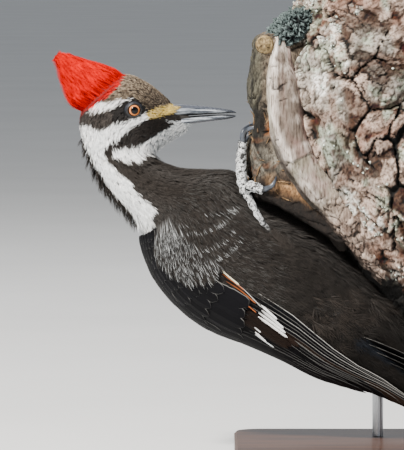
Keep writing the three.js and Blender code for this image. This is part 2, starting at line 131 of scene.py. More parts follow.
def add_node(tree: bpy.types.NodeTree, kind: str, given: dict | None = None) -> bpy.types.Node:
    """Adds a node.

    Args:
        tree: the node tree that takes it.
        kind: the node's type name.
        given: what its inputs and properties get, properties first.

    Returns:
        The new node.
    """
    node = tree.nodes.new(kind)
    feed(tree, node, given or {})
    return node


class Weave:
    """The nodes of one material: short ways to add what the finishes have in common."""

    def __init__(self, tree: bpy.types.NodeTree) -> None:
        """Starts with a shader that feeds the output."""
        self.tree = tree
        self.shader = add_node(tree, "ShaderNodeBsdfPrincipled")
        add_node(tree, "ShaderNodeOutputMaterial", {"Surface": self.shader.outputs["BSDF"]})

    def wear(self, given: dict) -> None:
        """Sets or links the shader's own inputs by name."""
        feed(self.tree, self.shader, given)

    def own(self) -> Socket:
        """The mesh's own colours."""
        return add_node(self.tree, "ShaderNodeAttribute", {"attribute_name": "coat"}).outputs["Color"]

    def place(self, stretch: Sequence[float] | None = None) -> Socket:
        """Places on the object, drawn out along an axis where its share of stretch is small."""
        place = add_node(self.tree, "ShaderNodeTexCoord").outputs["Object"]
        if stretch is None:
            return place
        return add_node(self.tree, "ShaderNodeMapping", {"Scale": stretch, "Vector": place}).outputs["Vector"]

    def noise(self, scale: float, detail: float, stretch: Sequence[float] | None = None,
              **more: float) -> Socket:
        """Noise of so many grains to the metre, with other inputs of the node by name."""
        given = {"Scale": scale, "Detail": detail, **more, "Vector": self.place(stretch)}
        return add_node(self.tree, "ShaderNodeTexNoise", given).outputs["Fac"]

    def cells(self, cell_mm: float, feature: str = "F1") -> Socket:
        """Distance from the middle or from the edge of small cells."""
        given = {"feature": feature, "Scale": 1.0 / (cell_mm * MM), "Vector": self.place()}
        return add_node(self.tree, "ShaderNodeTexVoronoi", given).outputs["Distance"]

    def maths(self, operation: str, *values: Socket | float) -> Socket:
        """One step of arithmetic on numbers."""
        return add_node(self.tree, "ShaderNodeMath",
                        {"operation": operation, **dict(enumerate(values))}).outputs[0]

    def span(self, value: Socket, start: Pair, end: Pair) -> Socket:
        """Maps a value from the range start to the range end, and stops at its ends."""
        given = {"From Min": start[0], "From Max": start[1], "To Min": end[0], "To Max": end[1],
                 "Value": value}
        return add_node(self.tree, "ShaderNodeMapRange", given).outputs["Result"]

    def ramp(self, value: Socket, *stops: tuple[float, str]) -> Socket:
        """Colours from a ramp whose stops are places and hex colours, in order."""
        node = add_node(self.tree, "ShaderNodeValToRGB", {"Fac": value})
        elements = node.color_ramp.elements
        while len(elements) < len(stops):
            elements.new(0.5)
        for element, (place, code) in zip(elements, stops):
            element.position = place
            element.color = rgba(code)
        return node.outputs["Color"]

    def tint(self, amount: Socket) -> Socket:
        """The mesh's own colours times a number or another colour."""
        given = {"operation": "SCALE", 0: self.own(), "Scale": amount}
        if amount.type == "RGBA":
            given = {"operation": "MULTIPLY", 0: self.own(), 1: amount}
        return add_node(self.tree, "ShaderNodeVectorMath", given).outputs["Vector"]

    def bump(self, height: Socket, strength: float, distance_mm: float) -> None:
        """Raises the surface by a pattern whose height from 0 to 1 is distance_mm."""
        given = {"Strength": strength, "Distance": distance_mm * MM, "Height": height}
        self.wear({"Normal": add_node(self.tree, "ShaderNodeBump", given).outputs["Normal"]})


@dataclass(frozen=True)
class Finish:
    """A surface finish. Each kind of finish fills in its own nodes."""

    name: str

    def material(self) -> bpy.types.Material:
        """Gives the finish's material, which is made once."""
        known = bpy.data.materials.get(self.name)
        if known:
            return known
        material = bpy.data.materials.new(self.name)
        material.use_nodes = True
        material.node_tree.nodes.clear()
        self.dress(Weave(material.node_tree))
        return material

    def dress(self, weave: Weave) -> None:
        """Adds the finish's own nodes and settings."""
        raise NotImplementedError


@dataclass(frozen=True)
class FeatherFinish(Finish):
    """Keratin barbs dyed by pigment: dull, with a soft sheen where they catch light along their length."""

    roughness: float = 0.62
    sheen: float = 0.05
    barb_mm: float = 0.9  # coarser than real barbs (0.1 mm), so that they show at viewing size
    barb_depth: float = 0.15
    gloss: float = 0.15

    def dress(self, weave: Weave) -> None:
        """Multiplies the coat's own colours by streaks and fine mottling."""
        mottle = weave.noise(1.0 / (self.barb_mm * 2.2 * MM), 5.0)
        weave.wear({"Base Color": weave.tint(weave.span(mottle, (0.3, 0.7), (0.86, 1.14))),
                    "Roughness": self.roughness, "Sheen Weight": self.sheen, "Sheen Roughness": 0.4,
                    "IOR": 1.54,
                    "Specular IOR Level": self.gloss})
        weave.bump(weave.noise(1.0 / (self.barb_mm * MM), 3.0), self.barb_depth, 0.3)


COAT = FeatherFinish("feather_contour")
CREST_COAT = FeatherFinish("feather_crest", roughness=0.75, sheen=0.0, gloss=0.0)


# ---- meshes
def unit(vectors: Array) -> Array:
    """Scales vectors along the last axis to length one."""
    return vectors / np.maximum(np.linalg.norm(vectors, axis=-1, keepdims=True), 1e-12)


def soft_step(low: float, high: float, value: Array) -> Array:
    """Rises smoothly from 0 at low to 1 at high."""
    t = np.clip((value - low) / (high - low), 0.0, 1.0)
    return t * t * (3.0 - 2.0 * t)


def mesh_object(name: str, points: Array, faces: Array, finish: Finish, colours: Array | None = None,
                spots: Array | None = None, smooth: bool = True) -> Thing:
    """Makes a mesh object from arrays.

    Args:
        name: the object's name.
        points: vertices in metres, (n, 3).
        faces: vertex numbers of like faces, (m, 3) or (m, 4).
        finish: the finish that it wears.
        colours: a linear colour for each vertex, kept in the attribute "coat".
        spots: a place on the skin's unwrap for each vertex, kept as the map OFBake.
        smooth: whether faces are shaded smoothly.

    Returns:
        The new object, linked to the scene.
    """
    mesh = bpy.data.meshes.new(name)
    count, corners = faces.shape
    mesh.vertices.add(len(points))
    mesh.vertices.foreach_set("co", np.ascontiguousarray(points, np.float32).ravel())
    mesh.loops.add(count * corners)
    mesh.loops.foreach_set("vertex_index", np.ascontiguousarray(faces, np.int32).ravel())
    mesh.polygons.add(count)
    mesh.polygons.foreach_set("loop_start", np.arange(0, count * corners, corners, dtype=np.int32))
    mesh.polygons.foreach_set("use_smooth", np.full(count, smooth))
    if colours is not None:
        layer = mesh.color_attributes.new("coat", "FLOAT_COLOR", "POINT")
        layer.data.foreach_set("color", np.c_[colours, np.ones(len(colours))].astype(np.float32).ravel())
    if spots is not None:
        layer = mesh.uv_layers.new(name="OFBake")
        corners_uv = spots if len(spots) == faces.size else spots[faces.ravel()]
        layer.data.foreach_set("uv", corners_uv.astype(np.float32).ravel())
    mesh.update(calc_edges=True)
    mesh.validate()
    mesh.materials.append(finish.material())
    thing = bpy.data.objects.new(name, mesh)
    bpy.context.scene.collection.objects.link(thing)
    return thing


def settle(thing: Thing, replaced: Iterable[str] = ()) -> Thing:
    """Puts a finished piece on the model.

    Args:
        thing: the piece.
        replaced: CAD nodes that it stands for.

    Returns:
        The same piece.
    """
    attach(thing, BODY)
    names = list(replaced)
    if names:
        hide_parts(*names)
    log.info("%s: %d faces", thing.name, len(thing.data.polygons))
    return thing


def grid_faces(rows: int, columns: int, closed: bool) -> Array:
    """Quads over a grid of vertices stored row by row.

    Args:
        rows: number of rows.
        columns: number of vertices in each row.
        closed: whether the last column joins the first.

    Returns:
        The quads' vertex numbers.
    """
    across = np.arange(columns if closed else columns - 1)
    nxt = (across + 1) % columns
    down = np.arange(rows - 1)[:, None] * columns
    return np.stack([down + across, down + nxt, down + columns + nxt, down + columns + across],
                    axis=-1).reshape(-1, 4)


def between(table: Array, s: Array) -> Array:
    """Reads a table of rows smoothly at fractional row numbers (Catmull-Rom)."""
    i = np.clip(np.floor(s).astype(int), 0, len(table) - 2)
    f = (s - i)[..., None]
    a, b, c, d = (table[np.clip(i + k, 0, len(table) - 1)] for k in (-1, 0, 1, 2))
    return b + 0.5 * f * (c - a + f * (2 * a - 5 * b + 4 * c - d + f * (3 * (b - c) + d - a)))


class Form:
    """A form on which a place is a station number s along it and an angle a around it.

    Beyond its ends a form goes straight on, so that feathers may reach past them.
    """

    table: Array

    @property
    def last(self) -> float:
        """The last station's number."""
        return float(len(self.table) - 1)

    def at(self, s: Array, a: Array) -> Array:
        """Points on the form, in millimetres."""
        raise NotImplementedError

    def axis(self, s: Array) -> Array:
        """Points on the form's middle line, in millimetres."""
        raise NotImplementedError

    def frame(self, s: Array, a: Array) -> tuple[Array, Array, Array, Array]:
        """Point, outward normal, and the changes of the point with s and with a."""
        step = 1e-3
        s, a = np.broadcast_arrays(np.asarray(s, float), np.asarray(a, float))
        inner = np.clip(s, step, self.last - step)
        along = (self.at(inner + step, a) - self.at(inner - step, a)) / (2 * step)
        around = (self.at(inner, a + step) - self.at(inner, a - step)) / (2 * step)
        point = self.at(inner, a)
        normal = unit(np.cross(around, along))
        flip = np.sign(np.sum(normal * (point - self.axis(inner)), -1, keepdims=True))
        return point + along * (s - inner)[..., None], normal * np.where(flip == 0, 1, flip), along, around

    def lifted(self, s: Array, a: Array, lift: Array | float = 0.0) -> Array:
        """Points that stand off the form by lift, in millimetres."""
        point, normal, _, _ = self.frame(s, a)
        return point + normal * np.broadcast_to(lift, point.shape[:-1])[..., None]

    def run(self, s: Array) -> Array:
        """Share of the middle line's length that lies before each station."""
        fine = np.linspace(0, self.last, 400)
        length = np.r_[0, np.cumsum(np.linalg.norm(np.diff(self.axis(fine), axis=0), axis=1))]
        return np.interp(s, fine, length / length[-1])

    def spot(self, s: Array, a: Array) -> Array:
        """Places on the form's unwrap, from 0 to 1 each way."""
        return np.stack([0.02 + 0.96 * np.mod(a / TURN, 1.0), 0.02 + 0.96 * s / self.last], -1)

    def grid(self, rows: int, columns: int) -> tuple[Array, Array]:
        """Stations and angles of an even grid."""
        return np.meshgrid(np.linspace(0.0, self.last, rows), np.arange(columns) / columns * TURN,
                           indexing="ij")


class Loft(Form):
    """Sections in the plane of symmetry: a back point, a belly point and a half width.

    The angle is 0 at the back and grows towards +Y.
    """

    def __init__(self, sections: Sequence[Sequence[float]]) -> None:
        """Keeps rows of back x and z, belly x and z and half width."""
        self.table = np.array(sections, float)

    def at(self, s: Array, a: Array) -> Array:
        """Points on the form, in millimetres."""
        bx, bz, fx, fz, half = np.moveaxis(between(self.table, s)[..., :5], -1, 0)
        cos = np.cos(a)
        return np.stack([(bx + fx + (bx - fx) * cos) / 2, half * np.sin(a), (bz + fz + (bz - fz) * cos) / 2],
                        -1)

    def axis(self, s: Array) -> Array:
        """Points on the form's middle line, in millimetres."""
        row = between(self.table, s)
        return np.stack([(row[..., 0] + row[..., 2]) / 2, 0 * row[..., 0], (row[..., 1] + row[..., 3]) / 2],
                        -1)


class Tube(Form):
    """A round form along a path. The angle is 0 on the side that the path bends from."""

    def __init__(self, path: Sequence[Sequence[float]], radii: Sequence[float], flat: float = 1.0) -> None:
        """Keeps the path and its radii.

        Args:
            path: points in millimetres.
            radii: radius at points spread evenly over the path.
            flat: width of the section across the path's plane as a share of its height.
        """
        places = np.linspace(0, len(radii) - 1, len(path))
        self.table = np.c_[np.array(path, float), between(np.array(radii, float)[:, None], places)]
        self.flat = flat

    def axis(self, s: Array) -> Array:
        """Points on the form's middle line, in millimetres."""
        return between(self.table, s)[..., :3]

    def at(self, s: Array, a: Array) -> Array:
        """Points on the form, in millimetres."""
        s, a = np.broadcast_arrays(s, a)
        row = between(self.table, s)
        tangent = unit(self.axis(np.minimum(s + 0.02, self.last)) - self.axis(np.maximum(s - 0.02, 0.0)))
        up = unit(np.cross(tangent, np.array([0.0, 1.0, 0.0])))
        side = np.cross(up, tangent)
        radius = row[..., 3:4]
        return row[..., :3] + radius * (np.cos(a)[..., None] * up + self.flat * np.sin(a)[..., None] * side)


def loop_spots(form: Form, s: Array, a: Array, faces: Array) -> Array:
    """Unwraps a closed grid, so that no face runs backwards over the seam."""
    spots = form.spot(s, a).reshape(-1, 2)[faces.ravel()].reshape(*faces.shape, 2)
    wraps = np.ptp(spots[..., 0], axis=1) > 0.5
    low = wraps[:, None] & (spots[..., 0] < 0.5)
    spots[..., 0] += np.where(low, 0.96, 0.0)
    return spots.reshape(-1, 2)


END_SHARE = 0.02  # size that a form's ends are drawn in to


def form_object(name: str, form: Form, rows: int, columns: int, finish: Finish, lift: Array | float,
                colours: Callable[[Array], Array]) -> Thing:
    """Makes a closed mesh of a form, with its ends drawn in to a point.

    Args:
        name: the object's name.
        form: the form.
        rows: stations of the mesh.
        columns: points around it.
        finish: the finish that it wears.
        lift: height of the mesh over the form in millimetres, one for all or (rows, columns).
        colours: gives the colour of points in millimetres.

    Returns:
        The new object.
    """
    s, a = form.grid(rows, columns)
    points = form.lifted(s, a, lift)
    ends = [ring.mean(0) + (ring - ring.mean(0)) * END_SHARE for ring in (points[0], points[-1])]
    points = np.concatenate([ends[:1], points, ends[1:]])
    faces = outward(points.reshape(-1, 3), grid_faces(len(points), columns, True))
    return mesh_object(name, points.reshape(-1, 3) * MM, faces, finish, colours(points).reshape(-1, 3),
                       loop_spots(form, padded(s), padded(a), faces))


def padded(rows: Array) -> Array:
    """Repeats the first and last rows for the ends that form_object adds."""
    return np.concatenate([rows[:1], rows, rows[-1:]])


def ringed(name: str, points: Array, finish: Finish, tone: Array, spots: Array | None = None) -> Thing:
    """Makes a closed mesh from rows of points in millimetres that each run round it.

    Args:
        name: the object's name.
        points: the points, (rows, columns, 3).
        finish: the finish that it wears.
        tone: a linear colour for each point.
        spots: a place on the map OFBake for each point.

    Returns:
        The new object.
    """
    faces = outward(points.reshape(-1, 3), grid_faces(*points.shape[:2], True))
    return mesh_object(name, points.reshape(-1, 3) * MM, faces, finish, tone.reshape(-1, 3), spots)


def sphere_grid(rows: int, columns: int, gap: float) -> tuple[Array, Array]:
    """Polar angles and turns of an even grid over a ball, with a small gap at its poles."""
    return np.meshgrid(np.linspace(gap, math.pi - gap, rows), np.arange(columns) / columns * TURN,
                       indexing="ij")


def outward(points: Array, faces: Array) -> Array:
    """Turns a closed mesh's faces so that their normals point outwards."""
    a, b, c = (points[faces[:, k]] for k in range(3))
    volume = np.sum(np.cross(a, b) * c)
    if faces.shape[1] == 4:
        volume += np.sum(np.cross(a, c) * points[faces[:, 3]])
    return faces if volume > 0 else faces[:, ::-1]


# ---- noise
def scatter_value(corner: Array, which: float) -> Array:
    """A number from 0 to 1 that is always the same for the same whole numbers."""
    i, j, k = np.moveaxis(corner, -1, 0)
    wave = np.sin(i * 127.1 + j * 311.7 + k * 74.7 + which * 53.3) * 43758.5453
    return wave - np.floor(wave)


def value_noise(points: Array, seed: int) -> Array:
    """Smooth noise from -0.5 to 0.5 with a grain of one unit."""
    base = np.floor(points)
    f = points - base
    f = f * f * f * (f * (f * 6 - 15) + 10)
    total = 0.0
    for corner in np.ndindex(2, 2, 2):
        weight = np.prod(np.where(np.array(corner) == 1, f, 1 - f), axis=-1)
        total = total + weight * scatter_value(base + corner, seed)
    return total - 0.5


def fractal(points: Array, grain: float, octaves: int, seed: int) -> Array:
    """Noise of several grains, of which the largest is grain."""
    total, weight = 0.0, 0.0
    for k in range(octaves):
        total = total + value_noise(points * (2 ** k / grain) + 19.7 * k, seed + k) * 0.5 ** k
        weight += 0.5 ** k
    return total / weight


def patches(low: float, high: float, *noise: object) -> Array:
    """Soft-edged patches where fractal noise, with its own arguments, passes from low to high."""
    return soft_step(low, high, fractal(*noise))


def cells(points: Array, seed: float = 0.0) -> tuple[Array, Array]:
    """Irregular cells with a grain of one unit.

    Args:
        points: places, (..., 3).
        seed: chooses the pattern.

    Returns:
        How much further the second nearest cell's middle is than the nearest one's, and a random value for
        each cell.
    """
    base = np.floor(points)
    first = np.full(points.shape[:-1], 9.0)
    second = first.copy()
    label = np.zeros_like(first)
    for corner in np.ndindex(3, 3, 3):
        home = base + np.array(corner) - 1
        spot = home + np.stack([scatter_value(home, seed + k) for k in range(3)], -1)
        far = np.linalg.norm(points - spot, axis=-1)
        closer = far < first
        second = np.where(closer, first, np.minimum(second, far))
        label = np.where(closer, scatter_value(home, seed + 7), label)
        first = np.where(closer, far, first)
    return second - first, label


def mix(low: Array | str, high: Array | str, amount: Array) -> Array:
    """Mixes colours, given as hex or as linear arrays, by an amount from 0 to 1."""
    low, high = (np.array(linear(c)) if isinstance(c, str) else c for c in (low, high))
    amount = np.clip(amount, 0, 1)[..., None]
    return low * (1 - amount) + high * amount


def layered(tone: Array, coats: Iterable[tuple[Array | str, Array]]) -> Array:
    """Lays colours over a tone one after another, each by its own amount."""
    for colour, amount in coats:
        tone = mix(tone, colour, amount)
    return tone


# ---- markings
@dataclass(frozen=True)
class Patch:
    """A marking seen from the side: its outline, its colour and the colour of its feather tips."""

    tone: Tone
    tip: Tone
    outline: tuple[Pair, ...]

    def holds(self, x: Array, z: Array) -> Array:
        """Tells which of the points lie inside the outline."""
        inside = np.zeros(np.shape(x), bool)
        corners = self.outline
        for (x0, z0), (x1, z1) in zip(corners, corners[1:] + corners[:1]):
            crosses = (z0 > z) != (z1 > z)
            with np.errstate(divide="ignore", invalid="ignore"):
                edge = (x1 - x0) * (z - z0) / ((z1 - z0) or 1e-9) + x0
            inside ^= crosses & (x < edge)
        return inside


MARKINGS = (
    Patch(Tone.FOREHEAD, Tone.FOREHEAD_PALE, (
        (-227.5, 286.5), (-222, 285), (-214.5, 281), (-206.5, 276), (-198.5, 270), (-191, 264),
        (-196.5, 259.5),
        (-204.5, 259), (-211.5, 257.5), (-216, 259.5), (-218, 264), (-224, 266), (-230.5, 265.5), (-239, 263),
        (-245, 263), (-239, 269), (-235, 272.5), (-232, 277), (-229, 281.5))),
    Patch(Tone.WHITE, Tone.WHITE, (  # white line over the eye
        (-255.5, 256.5), (-252, 259.8), (-247, 261.8), (-241, 262.6), (-236, 263.6), (-230, 264.8),
        (-224, 264.8),
        (-219.5, 262.8), (-219.8, 261.6), (-224, 263), (-230, 262.6), (-234.5, 260.2), (-239, 257.8),
        (-245, 256.4),
        (-251, 255))),
    Patch(Tone.EAR, Tone.EAR, (
        (-261, 247), (-259.5, 251.5), (-256, 254.5), (-249.5, 256), (-242, 257), (-235, 259), (-235, 248),
        (-239, 247), (-243, 245), (-248, 243.5), (-253, 246), (-257.5, 246))),
    Patch(Tone.EYE_STRIPE, Tone.EYE_STRIPE, (
        (-238, 258.5), (-235, 259), (-230.5, 263), (-223.5, 264.5), (-217, 262.5), (-213, 258), (-213, 254.5),
        (-217.5, 252), (-224, 249.5), (-232, 248.5), (-238, 247.5))),
    Patch(Tone.WHITE, Tone.WHITE_PAINTED_SHADE, (  # cheek stripe and the side of the neck, with painted shade on the feather tips
        (-210, 256.5), (-211.5, 250.5), (-217, 248.5), (-222.5, 244.5), (-227.5, 241), (-233.5, 237),
        (-238.5, 234), (-243, 231.5), (-244.5, 226), (-242, 221), (-238.5, 217), (-235, 213), (-230, 209.5),
        (-226, 205), (-222.5, 198.5), (-217.5, 193.5), (-211.5, 190), (-209, 186), (-210, 181), (-209, 174.5),
        (-211.5, 169), (-216, 167.5), (-220.5, 171), (-222, 177), (-225.5, 183.5), (-230.5, 189), (-237, 195),
        (-242, 202.5), (-246, 209.5), (-250, 215.5), (-254, 222), (-256.5, 227.5), (-259.5, 235),
        (-261.5, 241.5), (-262.5, 246.5), (-256.5, 247), (-250, 243.5), (-245, 244), (-239, 247),
        (-230.5, 248.5), (-223.5, 250), (-217.5, 252.5), (-214, 255))),
    Patch(Tone.NASAL, Tone.NASAL_TIP, (
        (-214, 253.5), (-211, 256.5), (-205, 258.5), (-199.5, 259.5), (-195, 261.5), (-185.5, 260.5),
        (-185.5, 256), (-196, 253.5), (-204.5, 251.5), (-211, 250.5))),
    Patch(Tone.MALAR, Tone.MALAR, (  # the female's black moustache
        (-211.5, 250), (-206, 250), (-200, 248.5), (-193.5, 247), (-198, 244), (-204.5, 240.5), (-210, 236.5),
        (-215.5, 234), (-220.5, 231), (-226, 229.5), (-232.5, 231), (-238.5, 228.5), (-243, 225),
        (-246, 227.5), (-243, 231.5), (-238.5, 234), (-233.5, 237), (-227.5, 241.5), (-222, 245),
        (-217, 248.5))),
    Patch(Tone.WHITE_PAINTED_SHADE, Tone.WHITE, (  # throat: painted shade over the white, with white feather tips
        (-200, 248.5), (-190, 248.5), (-177.5, 250), (-174, 243), (-182.5, 238), (-188.5, 236),
        (-193.5, 233.5),
        (-201, 230.5), (-205.5, 227), (-209, 224), (-213, 224), (-218, 222), (-222.5, 220), (-230, 220.5),
        (-235.5, 223.5), (-240.5, 226), (-238, 228.5), (-232, 231), (-225.5, 229.5), (-219.5, 231.5),
        (-214.5, 234), (-209.5, 237), (-203.5, 240.5), (-197, 244), (-193.5, 247))),
    Patch(Tone.RED, Tone.RED, (
        (-283, 298.5), (-272.5, 302), (-262.5, 297.5), (-245, 292), (-227.5, 287.5), (-226, 283.5),
        (-230, 280), (-232, 275.5), (-235, 272.5), (-238.5, 269), (-242, 266), (-246.5, 264), (-251.5, 259.5),
        (-259, 257.5), (-263, 251), (-267, 252), (-278, 268))),
    Patch(Tone.DOWN, Tone.DOWN, (
        (-103, 117.5), (-90, 126), (-70, 130), (-45, 125), (-34, 114), (-45, 104.5), (-59.5, 99), (-70, 88.5),
        (-77.5, 81), (-85, 90), (-97, 99))),
    # coverts under the tail, in a bluish grey that is painted sheen
    Patch(Tone.UNDERTAIL_PAINTED_SHEEN, Tone.UNDERTAIL_PAINTED_SHEEN, (
        (-68, 92), (-58, 94), (-45, 89), (-34, 83), (-26, 76), (-30, 70), (-42, 76), (-56, 82))),
)

# Pale fringes of the breast and flank feathers, as arcs seen from the side.
BAR_ARCS = (
    ((-201, 171), (-191.5, 172), (-182.5, 172.5)),
    ((-204, 165), (-190, 166), (-172, 167), (-160, 172), (-146.5, 184)),
    ((-172, 180), (-164.5, 181), (-157.5, 181.5), (-146, 185)),
    ((-201, 153.5), (-184, 153), (-168, 155), (-157, 160), (-148, 170)),
    ((-197, 145), (-181, 144.5), (-164.5, 146), (-154, 152), (-143, 163)),
    ((-190, 135.5), (-181, 132), (-172, 131), (-160, 135)),
    ((-186, 126), (-176, 124), (-167, 128)),
)


def arc_nearness(x: Array, z: Array) -> Array:
    """Distance in millimetres from each point to the nearest pale arc."""
    best = np.full(np.shape(x), 1e3)
    for arc in BAR_ARCS:
        for (x0, z0), (x1, z1) in zip(arc, arc[1:]):
            dx, dz = x1 - x0, z1 - z0
            t = np.clip(((x - x0) * dx + (z - z0) * dz) / (dx * dx + dz * dz), 0, 1)
            best = np.minimum(best, np.hypot(x - x0 - t * dx, z - z0 - t * dz))
    return best


def markings_at(points: Array) -> tuple[Array, Array]:
    """Base and tip colours of the coat at points in millimetres.

    Args:
        points: places on the coat, (..., 3).

    Returns:
        The linear colours of the feathers' roots and of their tips.
    """
    x, z = points[..., 0], points[..., 2]
    base = np.broadcast_to(Tone.SLATE.light, points.shape).copy()
    tip = base.copy()
    for patch in MARKINGS:
        inside = patch.holds(x, z)
        base[inside] = patch.tone.light
        tip[inside] = patch.tip.light
    return base, tip


def patch_at(points: Array, *tones: Tone) -> Array:
    """Tells which points wear one of the given tones as their base colour."""
    base, _ = markings_at(points)
    return np.any([np.all(np.isclose(base, tone.light), axis=-1) for tone in tones], axis=0)


# ---- feathers
SPOT = 0.0015  # half a feather's own patch on the map OFBake
LEAST_PACE = (2.4, 0.8)  # least millimetres that count for a station and for a radian where a form pinches


@dataclass
class Plume:
    """Contour feathers as fans of fine barbs, laid on a form.

    Attributes:
        form: the surface that they grow from.
        depth: how far under the form the skin lies, by station, in millimetres.
        barbs: number of barbs in each feather.
        joints: number of points along each barb.
        pace: power that spaces them, where less than 1 brings them closer together towards the tip.
    """

    form: Loft
    depth: Callable[[Array], Array]
    barbs: int = 7
    joints: int = 4
    pace: float = 1.0

    def grow(self, s: Array, a: Array, length: Array, spread: Array | float, width: Array | float,
             turn: Array,
             rise: Array, rng: Rng) -> Array:
        """Traces every barb over the form. A single number holds for every feather.

        Args:
            s: station of each root.
            a: angle of each root.
            length: length of each feather in millimetres.
            spread: half of the angle that each feather fans through, in radians.
            width: width of a barb in millimetres.
            turn: turn of each feather from the form's own lie, in radians.
            rise: height of the tips over the form in millimetres.
            rng: source of the small differences between feathers.

        Returns:
            Points of the barbs: (feathers, barbs, joints, 3 corners, 3).
        """
        count = len(s)
        length, spread, width, turn, rise = (np.broadcast_to(value, count)
                                             for value in (length, spread, width, turn, rise))
        fan = np.linspace(-1.0, 1.0, self.barbs)[None, :] + rng.normal(0, 0.08, (count, self.barbs))
        heading = turn[:, None] + fan * spread[:, None]
        reach = length[:, None] * (1.0 - 0.22 * fan ** 2) * rng.uniform(0.88, 1.08, fan.shape)
        s = np.repeat(s[:, None], self.barbs, 1)
        a = np.repeat(a[:, None], self.barbs, 1)
        lift = rng.normal(0, 0.12, fan.shape)
        spine = []
        share = np.linspace(0, 1, self.joints) ** self.pace
        for t, ahead in zip(share, np.append(np.diff(share), 0.0)):
            point, normal, along, around = self.form.frame(s, a)
            height = -self.depth(s) * (1.0 - t) ** 1.3 + (rise[:, None] + lift) * t
            spine.append((point + normal * height[..., None], normal))
            size_s, size_a = (np.maximum(np.linalg.norm(way, axis=-1), least)
                              for way, least in zip((along, around), LEAST_PACE))
            step = reach * ahead
            bend = heading * (0.35 + 0.65 * t)
            s = np.clip(s + step * np.cos(bend) / size_s, 0.0, self.form.last)
            a = a + step * np.sin(bend) / size_a
        points = np.stack([p for p, _ in spine], 2)
        normals = np.stack([n for _, n in spine], 2)
        tangent = unit(np.gradient(points, axis=2))
        side = unit(np.cross(tangent, normals))
        taper = 0.75 + 0.45 * np.sin(np.pi * share ** 0.8) - 0.7 * share ** 3
        half = width[:, None, None, None] / 2 * taper[:, None]
        ridge = points + normals * half * 0.55
        return np.stack([points - side * half, ridge, points + side * half], axis=3)


def barb_faces(joints: int) -> Array:
    """Triangles of one barb: three sides along its joints, closed at its root and tip."""
    faces = []
    for j in range(joints - 1):
        for k in range(3):
            p, q = 3 * j + k, 3 * j + (k + 1) % 3
            faces += [(p, q, q + 3), (p, q + 3, p + 3)]
    end = 3 * (joints - 1)
    return np.array(faces + [(0, 2, 1), (end, end + 1, end + 2)])


def coat_pieces(name: str, corners: Array, base: Array, tip: Array, tip_share: Array, spots: Array,
                finish: Finish, rng: Rng, limit: int = 190_000) -> list[Thing]:
    """Joins barbs into coat pieces under a limit of triangles.

    Args:
        name: name of the pieces.
        corners: points of the barbs, (feathers, barbs, joints, 3, 3), in millimetres.
        base: root colour of each barb, (feathers, barbs, 3).
        tip: tip colour of each barb.
        tip_share: how far down from the tip its colour reaches, (feathers,).
        spots: each root's place on the skin's unwrap, (feathers, 2).
        finish: the coat's finish.
        rng: source of the feathers' small differences of shade.
        limit: most triangles in one piece.

    Returns:
        The new objects.
    """
    feathers, barbs, joints = corners.shape[:3]
    pattern = barb_faces(joints)
    each = joints * 3
    share = np.linspace(0, 1, joints)
    blend = soft_step(0, 1, (share[None, :] - 1 + tip_share[:, None])
                      / np.maximum(tip_share[:, None], 1e-3) + 0.35)
    blend = blend[:, None, :, None, None]
    # random tone for each barb, darker towards its root: painted shade where the feathers lie under others
    shade = rng.uniform(0.82, 1.22, (feathers, barbs, 1, 1, 1)) * (0.6 + 0.45 * share)[:, None, None]
    colour = (base[:, :, None, None, :] * (1 - blend) + tip[:, :, None, None, :] * blend) * shade
    colour = np.clip(np.broadcast_to(colour, corners.shape), 0, 0.95)
    size = SPOT
    u = spots[:, None, None, None, 0] + size * np.linspace(-1, 1, barbs)[None, :, None, None] \
        + size * 0.12 * np.array([-1, 0, 1])[None, None, None, :]
    v = spots[:, None, None, None, 1] + size * (2 * share - 1)[None, None, :, None]
    maps = np.stack(np.broadcast_arrays(u, v), -1)
    batch = max(1, int(limit // (barbs * len(pattern))))
    made = []
    for start in range(0, feathers, batch):
        part = slice(start, start + batch)
        points = corners[part].reshape(-1, 3) * MM
        count = len(points) // each
        faces = (pattern[None] + (np.arange(count) * each)[:, None, None]).reshape(-1, 3)
        label = name if feathers <= batch else f"{name}_{start // batch + 1}"
        made.append(mesh_object(label, points, faces, finish, colour[part].reshape(-1, 3),
                                maps[part].reshape(-1, 2), smooth=False))
    return made


def scatter(form: Loft, span: Pair, spacing: Callable[[Array], Array],
            rng: Rng) -> tuple[Array, Array]:
    """Spreads roots evenly over a form, in rows set back by half a step from each other.

    Args:
        form: the form that they lie on.
        span: first and last station.
        spacing: distance between roots in millimetres, by station.
        rng: source of the roots' small shifts.

    Returns:
        Stations and angles of the roots.
    """
    found_s, found_a = [], []
    s, row = span[0], 0
    while s < span[1]:
        gap = float(spacing(np.array(s)))
        angles = np.linspace(0, TURN, 181)[:-1]
        _, _, along, around = form.frame(np.full(180, s), angles)
        pace = np.linalg.norm(along, axis=-1)
        advance = gap * 0.8 / max(pace.max(), 1e-6)
        arc = np.r_[0, np.cumsum(np.linalg.norm(around, axis=-1) * TURN / 180)]
        count = max(4, int(arc[-1] / gap))
        places = (np.arange(count) + 0.5 * (row % 2) + rng.uniform(-0.3, 0.3, count)) / count * arc[-1]
        a = np.interp(places % arc[-1], arc, np.linspace(0, TURN, 181))
        keep = rng.random(count) < np.interp(a, angles, pace, period=TURN) / pace.max() + 0.02
        found_a.append(a[keep])
        found_s.append(np.clip(s + rng.uniform(-0.4, 0.4, keep.sum()) * advance, 0, form.last))
        s, row = s + advance, row + 1
    return np.concatenate(found_s), np.concatenate(found_a)


